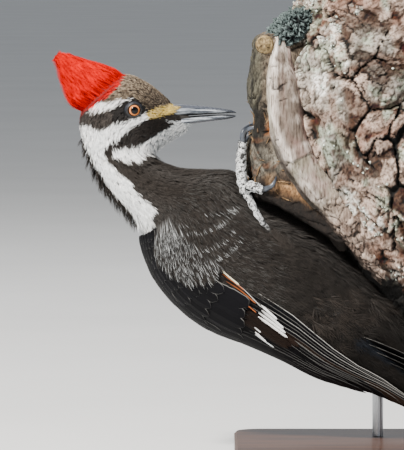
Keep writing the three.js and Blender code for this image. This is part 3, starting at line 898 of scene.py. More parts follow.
# ---- body
BODY_FORM = Loft((
    (-192, 259.5, -177.5, 247, 4), (-198, 264, -185, 241.5, 6), (-206, 271, -193, 236.5, 9),
    (-215.5, 277.5, -200, 232.5, 13), (-227, 282, -205, 229, 16),  # eye
    (-240, 280, -207.5, 226, 17), (-251, 272.5, -208.5, 225, 17), (-259, 260.5, -209, 224.5, 16.5),
    (-262.5, 246.5, -209, 223.5, 16.5),  # nape
    (-259.5, 231.5, -208, 222, 17), (-253, 215.5, -205.5, 220.5, 18), (-243, 198.5, -199.5, 217.5, 20.5),
    (-231, 185, -188.5, 214, 24.5),  # root of the neck
    (-219.5, 171, -170.5, 213, 29), (-212, 156, -152, 211.5, 32.5), (-201, 134.5, -138, 198, 35),  # breast
    (-187, 114.5, -121, 185, 36), (-164.5, 101.5, -101.5, 175.5, 36), (-140, 92.5, -81, 162.5, 34.5),
    (-113, 83.5, -64, 145, 31),  # vent
    (-87, 73.5, -48, 127, 26.5), (-64.5, 64, -35, 112.5, 21), (-41.5, 55.5, -25.5, 95.5, 14),
    (-22, 50.5, -16.5, 66, 7)))
FLESH_NODES = ("head", "neck", "breast", "belly", "rump")
EYE = Vector((-223.0, 13.4, 256.6))  # centre of the left eye; the right one is its mirror image
EYE_RADIUS = 5.4
LID_REACH = 5.3  # bare skin around the eye, from its centre


def coat_depth(s: Array) -> Array:
    """How far under the outer surface the skin lies, by station of the body, in millimetres."""
    return np.interp(s, (0, 4, 8, 12, 16, 23), (0.8, 1.2, 2.0, 2.8, 3.2, 2.2))


@dataclass(frozen=True)
class Zone:
    """A run of stations whose feathers change evenly from end to end. Lengths are in millimetres."""

    name: str
    span: Pair
    gap: Pair
    length: Pair
    width: Pair
    rise: Pair
    barbs: int
    joints: int
    spread: float

    def along(self, pair: Pair, s: Array) -> Array:
        """Reads one of the pairs at station s."""
        return np.interp(s, self.span, pair)


ZONES = (
    Zone("face", (0.8, 5.0), (1.35, 1.7), (3.0, 5.2), (0.3, 0.4), (0.1, 0.3), 6, 3, 0.4),
    Zone("crown", (5.0, 8.6), (1.8, 2.2), (5.4, 8.0), (0.44, 0.52), (0.3, 0.5), 6, 3, 0.36),
    Zone("neck", (8.6, 12.6), (2.2, 2.9), (8.0, 12.0), (0.52, 0.62), (0.4, 0.7), 8, 3, 0.38),
    Zone("breast", (12.6, 16.2), (2.9, 3.5), (12.5, 16.0), (0.6, 0.65), (0.6, 0.9), 9, 3, 0.4),
    Zone("belly", (16.2, 23.0), (3.9, 4.6), (16.0, 22.0), (0.7, 0.75), (0.9, 0.4), 8, 3, 0.4),
)


def near_eye(points: Array, reach: float) -> Array:
    """Tells which points lie within reach of the middle of either eye."""
    return np.hypot(points[..., 0] - EYE.x, points[..., 2] - EYE.z) < reach


@dataclass
class Bird:
    """Builds the bird's body: its skin and contour feathers."""

    rng: Rng
    hidden: Callable[[Array], Array]  # tells which places lie under the wings

    def skin(self) -> None:
        """Makes the skin under the feathers, which stands for the body's solids."""
        rows, columns = 200, 76
        s, _ = BODY_FORM.grid(rows, columns)
        skin = form_object("skin", BODY_FORM, rows, columns, SKIN, -coat_depth(s),
                           lambda p: markings_at(p)[0] * 0.8)
        settle(skin, FLESH_NODES)

    def contour_feathers(self) -> None:
        """Lays every zone's feathers over the skin."""
        for zone in ZONES:
            s, a = scatter(BODY_FORM, zone.span, lambda t, z=zone: z.along(z.gap, t), self.rng)
            roots = BODY_FORM.lifted(s, a)
            keep = ~self.hidden(roots) & ~near_eye(roots, LID_REACH + 0.2)
            self.lay(zone, s[keep], a[keep])

    def lay(self, zone: Zone, s: Array, a: Array) -> None:
        """Grows one zone's feathers from their roots and colours them."""
        rng = self.rng
        count = len(s)
        plume = Plume(BODY_FORM, coat_depth, zone.barbs, zone.joints, 0.7 if zone.name == "breast" else 1.0)
        length = zone.along(zone.length, s) * rng.uniform(0.85, 1.15, count)
        loose = np.where(patch_at(BODY_FORM.lifted(s, a), Tone.WHITE_PAINTED_SHADE), 1.6, 0.0)
        nape = soft_step(7.5, 9, s) * soft_step(0.82, 0.97, np.cos(a)) * (s < 15)
        loose = loose + nape * rng.uniform(0.0, 4.5, count) ** 1.2 if zone.name == "neck" else loose
        # fills out to the trunk
        loose = loose + 4.4 * soft_step(13, 15, s) * soft_step(-0.6, -0.92, np.cos(a))
        downy = patch_at(BODY_FORM.lifted(s, a), Tone.DOWN)
        turn = rng.normal(0, np.where(downy, 0.5, 0.12))
        corners = plume.grow(s, a, length, np.where(downy, 0.7, zone.spread), zone.along(zone.width, s), turn,
                             zone.along(zone.rise, s) + loose + downy * rng.uniform(0, 2.6, count), rng)
        clear = ~np.any(near_eye(corners[:, :, -1].reshape(count, -1, 3), LID_REACH - 0.7), axis=1)
        corners, s, a = corners[clear], s[clear], a[clear]
        visible = corners[:, :, -2].mean(2)
        visible = visible + rng.normal(0, 0.9 if zone.name == "crown" else 0.5, visible.shape)
        base, tip = markings_at(visible)
        mottled = patch_at(visible[:, 0], Tone.FOREHEAD, Tone.EAR)[:, None, None]
        base = base * np.where(mottled, rng.uniform(0.35, 1.3, (len(s), 1, 1)), 1.0)
        high = soft_step(262, 282, visible[..., 2:])
        low = 0.55 + 0.5 * soft_step(260, 274, visible[..., 2:])
        base = base * np.where(mottled, low, 1.0)
        # painted shade: red crown feathers are darkened, so that they do not show lighter than the crest
        # where light meets them head on
        red = np.where(patch_at(visible[:, 0], Tone.RED), rng.uniform(0.3, 0.8, len(s)), 1.0)[:, None, None]
        base, tip = base * red, tip * red
        tip = tip * np.where(mottled, low * rng.uniform(0.15, 1.2, (len(s), 1, 1))
                             + high * rng.uniform(0, 0.7, high.shape),
                             rng.uniform(0.8, 1.05, high.shape))
        reach = np.full(len(s), 0.3)
        if zone.span[0] > 12:
            far = arc_nearness(corners[:, :, -1, 0, 0], corners[:, :, -1, 0, 2])
            pale = (far < 0.6) & (rng.random(far.shape) < 0.75)
            tip[pale] = (Tone.WHITE_PAINTED_SHADE.light * rng.uniform(0.2, 0.8, far.shape)[..., None])[pale]
            worn = (rng.random(far.shape) < 0.2) & (visible[..., 0] < -120)
            tip[worn & ~pale] = Tone.EDGE.light * 0.16
            # painted shadow: the breast and belly darken towards the tail, as in the trunk's shade
            painted_belly_shadow = np.interp(visible[..., :1], (-150, -110, -60), (1.0, 0.75, 0.5))
            downy = patch_at(visible[:, 0], Tone.DOWN)[:, None, None]
            patchy = np.where(downy, rng.uniform(0.3, 3.2, (len(s), 1, 1)),
                              rng.uniform(0.55, 1.1, (len(s), 1, 1)))
            base, tip = base * painted_belly_shadow * patchy, tip * painted_belly_shadow * patchy
        settle_all(coat_pieces(f"coat_{zone.name}", corners, base, tip, reach, BODY_FORM.spot(s, a), COAT,
                               rng))


def settle_all(things: Iterable[Thing]) -> None:
    """Puts several pieces on the model."""
    for thing in things:
        settle(thing)


@dataclass(frozen=True)
class SkinFinish(Finish):
    """Thin skin and feather roots under the coat: dull and dark, so that gaps read as shade."""

    def dress(self, weave: Weave) -> None:
        """Takes the markings' colours and breaks them up with fine noise."""
        fine = weave.noise(900.0, 4.0)
        weave.wear({"Base Color": weave.tint(weave.span(fine, (0.3, 0.7), (0.5, 1.0))), "Roughness": 0.8})
        weave.bump(fine, 0.5, 0.3)


SKIN = SkinFinish("skin_under_coat")


# ---- crest
CREST_FORM = Loft((
    (-227.5, 283.5, -262.5, 252.5, 14), (-239, 287, -267.5, 260.5, 12.8), (-248, 289.8, -270.5, 269.5, 10.2),
    (-258, 292.5, -273.5, 278.5, 7.2), (-266, 295, -275.5, 286.5, 4.8), (-271.5, 296.4, -277, 291.5, 2.9),
    (-276, 296, -278.5, 294, 1)))


@dataclass
class Crest:
    """Builds the pointed red crest out of long, hair-like locks over an inner form."""

    rng: Rng

    def build(self) -> None:
        """Makes the inner form and its locks."""
        rows, columns = 60, 48
        s, _ = CREST_FORM.grid(rows, columns)
        lift = -np.interp(s, (0, 3, 6), (3.0, 1.8, 0.7))
        # the core's deep red is painted shade where it shows between the locks
        core = form_object("crest_core", CREST_FORM, rows, columns, SKIN, lift,
                           lambda p: np.broadcast_to(Tone.RED_PAINTED_SHADE.light, p.shape).copy())
        settle(core, ["crest"])
        self.locks()

    def locks(self) -> None:
        """Lays locks along the crest, longer and looser towards its rear edge and tip."""
        rng = self.rng
        s, a = scatter(CREST_FORM, (-1.15, 5.7), lambda t: np.interp(t, (0, 6), (1.9, 1.2)), rng)
        count = len(s)
        length = np.interp(s, (-1, 0, 3, 6), (11, 15, 17, 9)) * rng.uniform(0.65, 1.35, count)
        rear = 0.5 - 0.5 * np.cos(a)
        plume = Plume(CREST_FORM, lambda t: np.interp(t, (-1, 0, 1, 6), (5.0, 3.5, 2.0, 0.8)), barbs=5,
                      joints=4)
        rise = rng.uniform(-0.4, 1.0, count) + rear * rng.uniform(0.0, 5.0, count)
        rise = (rise * soft_step(-1.2, 0.6, s)
                + np.interp(s, (3.0, 5.0), (0, 1)) * rng.uniform(-0.8, 3.0, count))
        corners = plume.grow(s, a, length, 0.12, rng.uniform(0.25, 0.42, count),
                             rng.normal(0, 0.13, count), rise, rng)
        barbs = corners.shape[1]
        # painted shade: random locks and barbs take the shaded red
        deep = np.clip(rng.normal(0.22, 0.42, (count, 1, 1)) + rng.normal(0, 0.2, (count, barbs, 1)), 0, 1)
        base = mix(Tone.RED.light, Tone.RED_PAINTED_SHADE.light, deep[..., 0])
        settle_all(coat_pieces("crest_locks", corners, base, base, np.full(count, 0.7), CREST_FORM.spot(s, a),
                               CREST_COAT, rng))


# ---- bill
@dataclass(frozen=True)
class HornFinish(Finish):
    """Keratin of the bill or a claw: slate blue to pale grey, half glossy, with growth streaks along it."""

    roughness: float = 0.38
    streak_mm: float = 0.7

    def dress(self, weave: Weave) -> None:
        """Breaks the mesh's own shade up with drawn-out streaks."""
        grain = weave.noise(1.0 / (self.streak_mm * 2 * MM), 6.0, (0.14, 1.0, 1.0))
        streaks = weave.ramp(grain, (0.3, "#c4c4c4"), (0.5, "#ffffff"), (0.72, "#dfe3e6"))
        weave.wear({"Base Color": weave.tint(streaks), "Roughness": self.roughness, "IOR": 1.55})
        weave.bump(grain, 0.3, 0.15)


HORN = HornFinish("keratin_bill")
CLAW_HORN = HornFinish("keratin_claw", roughness=0.3)


class Bill:
    """Builds the chisel bill, its ridged sides and the bristles over its nostrils."""

    UPPER = ((-200.5, 260, 249.8, 7), (-190, 260.6, 251.6, 6.4), (-177.5, 259.7, 252.7, 5.3),
             (-165.5, 258.3, 253.4, 4), (-155, 256.8, 254, 2.7), (-151, 255.6, 254.1, 1.9),
             (-149, 254.6, 254, 1.1))
    LOWER = ((-202, 249.4, 243.6, 6.2), (-191.5, 250.9, 244.7, 5.6), (-179, 252.1, 246.5, 4.6),
             (-166.5, 252.8, 248.2, 3.5), (-156.5, 253, 249.5, 2.4), (-151.5, 252.8, 250.6, 1.6),
             (-149.5, 252.6, 251.5, 1))

    def __init__(self, rng: Rng) -> None:
        """Keeps the source of small differences and the two mandibles' forms."""
        self.rng = rng
        self.upper = Loft([(x, top, x, low, half) for x, top, low, half in self.UPPER])
        self.lower = Loft([(x, top, x, low, half) for x, top, low, half in self.LOWER])

    def build(self) -> None:
        """Makes both mandibles and the nasal bristles."""
        for name, form, sign in (("bill_top", self.upper, 1.0), ("bill_bottom", self.lower, -1.0)):
            settle(self.mandible(name, form, sign),
                   [name.replace("top", "upper").replace("bottom", "lower")])
        self.bristles()

    def mandible(self, name: str, form: Loft, sign: float) -> Thing:
        """Makes one mandible.

        Args:
            name: the object's name.
            form: its sections.
            sign: 1 for the upper one, whose ridge is on top, and -1 for the lower one.

        Returns:
            The new object.
        """
        rows, columns = 96, 44
        s, a = form.grid(rows, columns)
        up = np.cos(a) * sign
        fade = np.interp(s, (0, 4.6, 6), (1, 0.8, 0))
        # flat planes that meet in a ridge
        ridge = -0.9 * np.abs(np.sin(a)) * soft_step(0.35, 0.85, up) * fade
        groove = -0.3 * np.exp(-((up - 0.12) / 0.14) ** 2) * fade if sign > 0 else 0.0
        wear = 0.06 * np.sin(s * 23 + 3 * np.sin(a)) * fade

        def colours(points: Array) -> Array:
            """Colours the horn at points in millimetres."""
            high = points[..., 2]
            row = between(form.table, np.interp(points[..., 0], form.table[:, 0], np.arange(len(form.table))))
            share = np.clip((high - row[..., 3]) / np.maximum(row[..., 1] - row[..., 3], 0.1), 0, 1)
            if sign < 0:
                share = 1.0 - share
            streaks = fractal(points * np.array([0.07, 1, 1]), 1.1, 3, 4)
            # a paler band along each mandible's side is painted highlight
            tone = mix("#2c3542", "#a9b0b8", 0.4 + 3.4 * streaks + 0.25 * soft_step(0.35, 0.6, share))
            # upper mandible: a dark ridge on top; lower mandible: darker towards its underside, which is
            # painted shade
            dark = soft_step(0.5, 0.78, share) if sign > 0 else 0.95 * soft_step(0.45, 0.8, share)
            tone = mix(tone, "#1d2434", dark)
            tone = mix(tone, "#22272f", 0.8 * soft_step(-166, -151, points[..., 0]))
            # painted shade: a near-black line along the gape between the mandibles
            return mix(tone, "#050506", soft_step(0.26, 0.13, share))

        return form_object(name, form, rows, columns, HORN, ridge + groove + wear, colours)

    def bristles(self) -> None:
        """Lays the stiff bristles that cover the nostrils and point along the bill."""
        rng = self.rng
        count = 420
        s = -0.9 + 1.5 * rng.random(count) ** 1.3
        a = (rng.choice([-1, 1], count)
             * (1.2 + rng.uniform(-0.5, 0.6, count) * np.interp(s, (-0.9, 0.6), (1, 0.3))))
        length = rng.uniform(5, 10, count) * np.interp(s, (-0.9, 0.6), (1, 0.8))
        plume = Plume(self.upper, lambda t: np.full(np.shape(t), -0.2), barbs=4, joints=4)
        corners = plume.grow(s, a, length, 0.06, 0.24, rng.normal(0, 0.06, count),
                             rng.uniform(0.1, 1.2, count), rng)
        grey = soft_step(-200, -188, corners[:, :, -1, 0, 0])[..., None] * rng.uniform(0.3, 1, (count, 4, 1))
        base = Tone.NASAL.light * rng.uniform(0.35, 1.1, grey.shape)
        tip = base * (1 - grey) + Tone.NASAL_TIP.light * grey * rng.uniform(0.2, 1.2, grey.shape)
        settle_all(coat_pieces("nasal_bristles", corners, base, tip, np.full(count, 0.5),
                               self.upper.spot(s, a), COAT,
                               rng))


# ---- eyes
@dataclass(frozen=True)
class EyeFinish(Finish):
    """Wet cornea over an amber iris: the clear coat gives one small sharp highlight."""

    def dress(self, weave: Weave) -> None:
        """Takes the rings' colours from the mesh and coats them."""
        weave.wear({"Base Color": weave.own(), "Roughness": 0.1, "IOR": 1.38, "Specular IOR Level": 0.1,
                    "Coat Weight": 0.5, "Coat IOR": 1.38, "Coat Roughness": 0.02})


@dataclass(frozen=True)
class LidFinish(Finish):
    """Bare slate skin around the eye, finely pebbled and slightly moist."""

    def dress(self, weave: Weave) -> None:
        """Breaks the mesh's own slate up into small cells."""
        pebbles = weave.cells(0.9)
        weave.wear({"Base Color": weave.tint(weave.span(pebbles, (0.0, 1.0), (1.15, 0.5))),
                    "Roughness": 0.45})
        weave.bump(pebbles, 0.5, -0.2)


CORNEA = EyeFinish("wet_cornea")
LID_SKIN = LidFinish("bare_eye_skin")


class Eyes:
    """Builds both eyeballs and the bare lids around them."""

    IRIS = 3.8  # outer radius of the iris as seen from the side
    PUPIL = 2.65

    def build(self) -> None:
        """Makes each side's eye and lids."""
        for side, sign in (("left", 1.0), ("right", -1.0)):
            gaze = unit(np.array([0.12, sign, 0.0]))
            centre = np.array([EYE.x, sign * EYE.y, EYE.z])
            settle(self.ball(side, centre, gaze), [f"eye_{side}"])
            settle(self.lids(side, centre, gaze, sign))

    def ball(self, side: str, centre: Array, gaze: Array) -> Thing:
        """Makes an eyeball with a slightly bulging cornea."""
        up = unit(np.cross(gaze, [1.0, 0.0, 0.0]))
        across = np.cross(up, gaze)
        polar, turn = sphere_grid(56, 48, 0.004)
        radius = EYE_RADIUS + 0.5 * np.exp(-(polar / 0.6) ** 2)
        shape = (np.cos(polar)[..., None] * gaze + np.sin(polar)[..., None]
                 * (np.cos(turn)[..., None] * across + np.sin(turn)[..., None] * up))
        points = centre + radius[..., None] * shape
        out = EYE_RADIUS * np.sin(polar)
        fibres = 0.85 + 0.15 * np.sin(turn * 23) * np.sin(turn * 7 + 1)
        iris = np.array(linear("#cc7f48")) * fibres[..., None]
        colour = mix(iris, "#0b0808", soft_step(self.IRIS - 0.2, self.IRIS + 0.1, out))
        colour = mix("#020203", colour, soft_step(self.PUPIL - 0.1, self.PUPIL + 0.15, out))
        round_about = np.stack([np.cos(turn), np.sin(turn)], -1)
        spots = 0.5 + 0.45 * polar[..., None] / math.pi * round_about
        return ringed(f"eyeball_{side}", points, CORNEA, colour, spots.reshape(-1, 2))

    def lids(self, side: str, centre: Array, gaze: Array, sign: float) -> Thing:
        """Makes the ring of bare skin, which meets the ball inside and dips under the coat outside."""
        columns = 72
        turn = np.arange(columns) / columns * TURN
        # reach from the gaze line and height over the ball's centre, from the ball's edge outwards
        profile = np.array([(4.2, 2.4), (4.1, 3.75), (4.4, 4.3), (4.9, 4.1), (5.4, 3.6), (5.9, 2.9),
                            (6.5, 2.0), (7.1, 0.9), (7.4, -0.4)])
        paler = (soft_step(0.2, 0.95, np.cos(turn + 2.2 * sign))
                 + soft_step(0.5, 1.0, np.cos(turn + 0.6 * sign)))
        slate = mix("#060607", mix("#0c0d10", "#2a2f38", 0.8 * paler),
                    soft_step(5.0, 5.7, profile[:, :1] + 0 * turn))
        up = unit(np.cross(gaze, [1.0, 0.0, 0.0]))
        across = np.cross(up, gaze)
        oval = 1.0 + 0.07 * np.abs(np.cos(turn)) ** 3  # small corners fore and aft
        bumps = 0.14 * np.maximum(0.0, np.sin(turn * 18))
        rows = []
        for k, (reach, height) in enumerate(profile):
            beads = bumps if k == 2 else 0.0
            spoke = np.cos(turn)[:, None] * across + np.sin(turn)[:, None] * up
            rows.append(centre + spoke * (reach * oval)[:, None]
                        + gaze * (height + beads * np.ones(columns))[:, None])
        points = np.array(rows)
        faces = grid_faces(len(points), columns, True)
        normals_out = np.cross(points[2, 1] - points[2, 0], points[3, 0] - points[2, 0]) @ gaze
        faces = faces if normals_out > 0 else faces[:, ::-1]
        return mesh_object(f"eyelids_{side}", points.reshape(-1, 3) * MM, faces, LID_SKIN,
                           slate.reshape(-1, 3))


# ---- vanes
@dataclass(frozen=True)
class VaneFinish(Finish):
    """Closed vane of a wing or tail feather: black and half glossy, with pale edges that are partly worn
    fringes and partly painted highlight.
    """

    barb_mm: float = 0.55  # real barbs lie 0.15 to 0.3 mm apart
    roughness: float = 0.55

    def dress(self, weave: Weave) -> None:
        """Draws edge and slanting barbs from the feather's own measures in the attribute "lie"."""
        lie = add_node(weave.tree, "ShaderNodeAttribute", {"attribute_name": "lie"}).outputs["Vector"]
        across, along, worn = add_node(weave.tree, "ShaderNodeSeparateXYZ", {"Vector": lie}).outputs
        side = weave.maths("ABSOLUTE", across)
        slant = weave.maths("MULTIPLY_ADD", side, -7.0, along)
        shift = weave.maths("MULTIPLY_ADD", weave.noise(260.0, 2.0), 2.4, slant)
        barbs = weave.maths("SINE", weave.maths("MULTIPLY", shift, TURN / self.barb_mm))
        # pale edges: worn fringes, and on the primaries painted highlight
        rim = weave.maths("MULTIPLY", weave.span(side, (0.88, 0.95), (0.0, 1.0)), worn)
        edged = add_node(weave.tree, "ShaderNodeMix", {"data_type": "RGBA", 7: rgba(Tone.EDGE.value), 0: rim,
                                                       6: weave.tint(weave.span(barbs, (-1.0, 1.0),
                                                                                (0.78, 1.2)))})
        weave.wear({"Base Color": edged.outputs[2], "Roughness": self.roughness, "IOR": 1.55,
                    "Specular IOR Level": 0.06})
        weave.bump(barbs, 0.25, 0.08)


VANE = VaneFinish("feather_vane")


@dataclass(frozen=True)
class Vane:
    """A closed feather on a form, from its root to its tip.

    Places are a station number and a share of the way from the form's back edge to its front edge. Lifts are
    heights over the form in millimetres at the root and at the tip.
    """

    root: Pair
    tip: Pair
    width: float
    lift: Pair
    tone: Tone = Tone.WING
    edge: float = 0.35  # how pale its edges are: worn fringes, and on the primaries painted highlight as well
    point: float = 0.24  # share of its length over which it narrows to its tip
    bow: float = 0.0  # how far its middle bends across, in shares of the form
    crown: float = 0.6  # height of its middle over its edges in millimetres


class VaneField(Form):
    """A form on which vanes lie, with places given by station and share."""

    def place(self, s: Array, share: Array) -> tuple[Array, Array]:
        """Turns a station and share into the form's own station and angle."""
        raise NotImplementedError


VANE_ROWS = 15
VANE_TOP = (-1.0, -0.92, -0.55, -0.08, 0.0, 0.08, 0.55, 0.92, 1.0)
VANE_UNDER = (0.6, 0.0, -0.6)
VANE_THICKNESS = 0.3


def vane_points(field: VaneField, vanes: Sequence[Vane], rng: Rng) -> tuple[Array, ...]:
    """Lays vanes over a field.

    Args:
        field: the form that they lie on.
        vanes: the feathers.
        rng: source of the small waves in their edges.

    Returns:
        Points (vanes, rows, ring, 3), places across -1 to 1 and along in millimetres for each, and the roots'
        places on the unwrap.
    """
    t = np.linspace(0, 1, VANE_ROWS)
    bow, width, narrow, crown = np.array([(v.bow, v.width, v.point, v.crown) for v in vanes]).T
    root = np.array([v.root for v in vanes])[:, None, :]
    tip = np.array([v.tip for v in vanes])[:, None, :]
    place = root + (tip - root) * t[:, None]
    place[..., 1] += bow[:, None] * np.sin(np.pi * t)
    s, a = field.place(place[..., 0], place[..., 1])
    point, normal, along, around = field.frame(s, a)
    tangent = unit(np.gradient(point, axis=1))
    side = unit(np.cross(normal, tangent))
    narrow = narrow[:, None]
    pointed = 1.0 - np.clip((t - 1 + narrow) / narrow, 0, 1) ** 2.2
    shape = np.minimum(1.0, 0.3 + 3.2 * t) * np.sqrt(np.clip(pointed, 0.004, 1))
    half = width[:, None] / 2 * shape
    across = np.array(VANE_TOP + VANE_UNDER)
    under = np.array([0.0] * len(VANE_TOP) + [1.0] * len(VANE_UNDER))
    wave = 1.0 + rng.normal(0, 0.025, (len(vanes), VANE_ROWS, 1)) * (np.abs(across) > 0.8)
    off = half[..., None] * across * wave
    metric_s = np.sum(side * along, -1) / np.maximum(np.sum(along * along, -1), 1e-6)
    metric_a = np.sum(side * around, -1) / np.maximum(np.sum(around * around, -1), 1e-6)
    lift = np.array([v.lift for v in vanes])
    height = lift[:, :1] + (lift[:, 1:] - lift[:, :1]) * t
    shaft = 0.3 * np.exp(-(across / 0.07) ** 2) * (1 - 0.7 * t[:, None]) * (1 - under)
    crown = crown[:, None, None] * (1 - across ** 2) * np.minimum(1, half[..., None] / 6)
    lifts = height[..., None] + shaft + crown - under * VANE_THICKNESS
    points = field.lifted(s[..., None] + metric_s[..., None] * off,
                          a[..., None] + metric_a[..., None] * off, lifts)
    run = np.concatenate([np.zeros((len(vanes), 1)),
                          np.cumsum(np.linalg.norm(np.diff(point, axis=1), axis=-1), 1)], 1)
    across, run = (np.broadcast_to(value, points.shape[:-1]) for value in (across, run[..., None]))
    return points, across, run, field.spot(s[:, 0], a[:, 0])


def vane_object(name: str, field: VaneField, vanes: Sequence[Vane], rng: Rng,
                own_cells: bool) -> Thing:
    """Makes one piece of many vanes.

    Args:
        name: the object's name.
        field: the form that they lie on.
        vanes: the feathers.
        rng: source of their small differences.
        own_cells: whether each gets a cell of its own on the map OFBake, as large feathers do, or a small
            patch at its root's place.

    Returns:
        The new object.
    """
    points, across, run, spots = vane_points(field, vanes, rng)
    count, rows, ring = points.shape[:3]
    t = np.linspace(0, 1, rows)
    quads = grid_faces(rows, ring, True)
    faces = (quads[None] + (np.arange(count) * rows * ring)[:, None, None]).reshape(-1, 4)
    tones = np.array([v.tone.light for v in vanes])[:, None, None, :]
    # random tone for each vane, darker towards its root: painted shade under the feathers that lie over it
    shade = rng.uniform(0.7, 1.3, (count, 1, 1, 1)) * (0.7 + 0.6 * t)[:, None, None]
    colours = np.clip(np.broadcast_to(tones * shade, points.shape), 0, 0.95)
    if own_cells:
        per_row = math.ceil(math.sqrt(count))
        cell = np.stack([np.arange(count) % per_row, np.arange(count) // per_row], -1)[:, None, None, :]
        k = np.arange(ring)[None, None, :] / (ring - 1)
        local = np.stack(np.broadcast_arrays(0.08 + 0.84 * k, (0.04 + 0.92 * t)[None, :, None]), -1)
        maps = (cell + local) / per_row
    else:
        local = SPOT * np.stack([across, np.broadcast_to((2 * t - 1)[None, :, None], across.shape)], -1)
        maps = spots[:, None, None, :] + local
    maps = np.broadcast_to(maps, points.shape[:-1] + (2,))
    flip = np.sum(np.cross(points[:, 2, 5] - points[:, 2, 4], points[:, 3, 4] - points[:, 2, 4])
                  * (points[:, 2, 4] - points[:, 2, 10]), -1) < 0
    faces = faces.reshape(count, -1, 4)
    faces[flip] = faces[flip][..., ::-1]
    thing = mesh_object(name, points.reshape(-1, 3) * MM, faces.reshape(-1, 4), VANE, colours.reshape(-1, 3),
                        maps.reshape(-1, 2))
    edge = np.array([v.edge for v in vanes])[:, None, None]
    lie = np.stack(np.broadcast_arrays(across, run, edge), -1)
    layer = thing.data.attributes.new("lie", "FLOAT_VECTOR", "POINT")
    layer.data.foreach_set("vector", lie.astype(np.float32).ravel())
    return thing


# ---- wings
class WingForm(Loft, VaneField):
    """The outer surface of a folded wing, from the shoulder to the tip, on one side of the bird."""

    # back x and z, middle x and z, half width, and the angles in degrees at which its two edges lie
    ROWS = ((-219, 162, -186.5, 187.5, 33.5, 4, 60), (-215.5, 151.5, -183, 181, 36.5, 3, 64),
            (-206.5, 132, -170.5, 165.5, 38.5, 3, 66), (-188, 111, -153.5, 150, 39, 3, 70),
            (-166.5, 96.5, -132.5, 139, 39, 3, 72),  # wrist
            (-142, 87, -110, 127.5, 38, 3, 67), (-115.5, 75.5, -90, 111.5, 34.5, 3, 63),
            (-94, 64.5, -74, 92, 29, 4, 64), (-74, 57, -59.5, 75.5, 23, 6, 67),  # end of the secondaries
            (-53.5, 50, -43.5, 62.5, 17, 10, 70), (-36, 42, -29, 50, 12, 14, 78),
            (-22, 35.5, -17, 40, 8, 25, 95),
            (-12.5, 31, -10, 33, 5, 40, 120))
    FAR_DROOP = 14  # the left wing hangs lower by this many degrees

    def __init__(self, sign: float) -> None:
        """Keeps the wing's side: 1 for the left wing and -1 for the right one."""
        rows = np.array(self.ROWS, float)
        back, middle = rows[:, :2], rows[:, 2:4]
        self.table = np.c_[back, 2 * middle - back, rows[:, 4:]]
        self.sign = sign

    def place(self, s: Array, share: Array) -> tuple[Array, Array]:
        """Turns a station and share into the form's own station and angle."""
        row = between(self.table, np.clip(s, 0, self.last))
        low = row[..., 6] + (self.FAR_DROOP if self.sign > 0 else 0)
        return s, self.sign * np.radians(row[..., 5] + (low - row[..., 5]) * share)


def row_of(count: int, roots: Pair, tips: Pair, shares: Pair,
           drift: float, width: float, lift: Pair, rng: Rng,
           **looks: object) -> list[Vane]:
    """Makes a row of coverts side by side, from the back edge to the front edge.

    Args:
        count: number of feathers.
        roots: stations of the roots at the back and at the front.
        tips: stations of the tips at the back and at the front.
        shares: shares of the first and last root.
        drift: how far a tip lies from its root across the wing, in shares.
        width: width of a feather in millimetres.
        lift: heights at the root and tip in millimetres.
        rng: source of small differences.
        looks: other settings of the vanes.

    Returns:
        The feathers, of which each lies over the one in front of it.
    """
    made = []
    for k in range(count):
        f = k / max(count - 1, 1)
        share = shares[0] + (shares[1] - shares[0]) * f
        start = roots[0] + (roots[1] - roots[0]) * f + rng.normal(0, 0.03)
        end = tips[0] + (tips[1] - tips[0]) * f + rng.normal(0, 0.05)
        top = (lift[0] - 0.35 * f, lift[1] - 0.35 * f + rng.normal(0, 0.08))
        made.append(Vane((start, share), (end, share + drift), width * rng.uniform(0.93, 1.07), top, **looks))
    return made


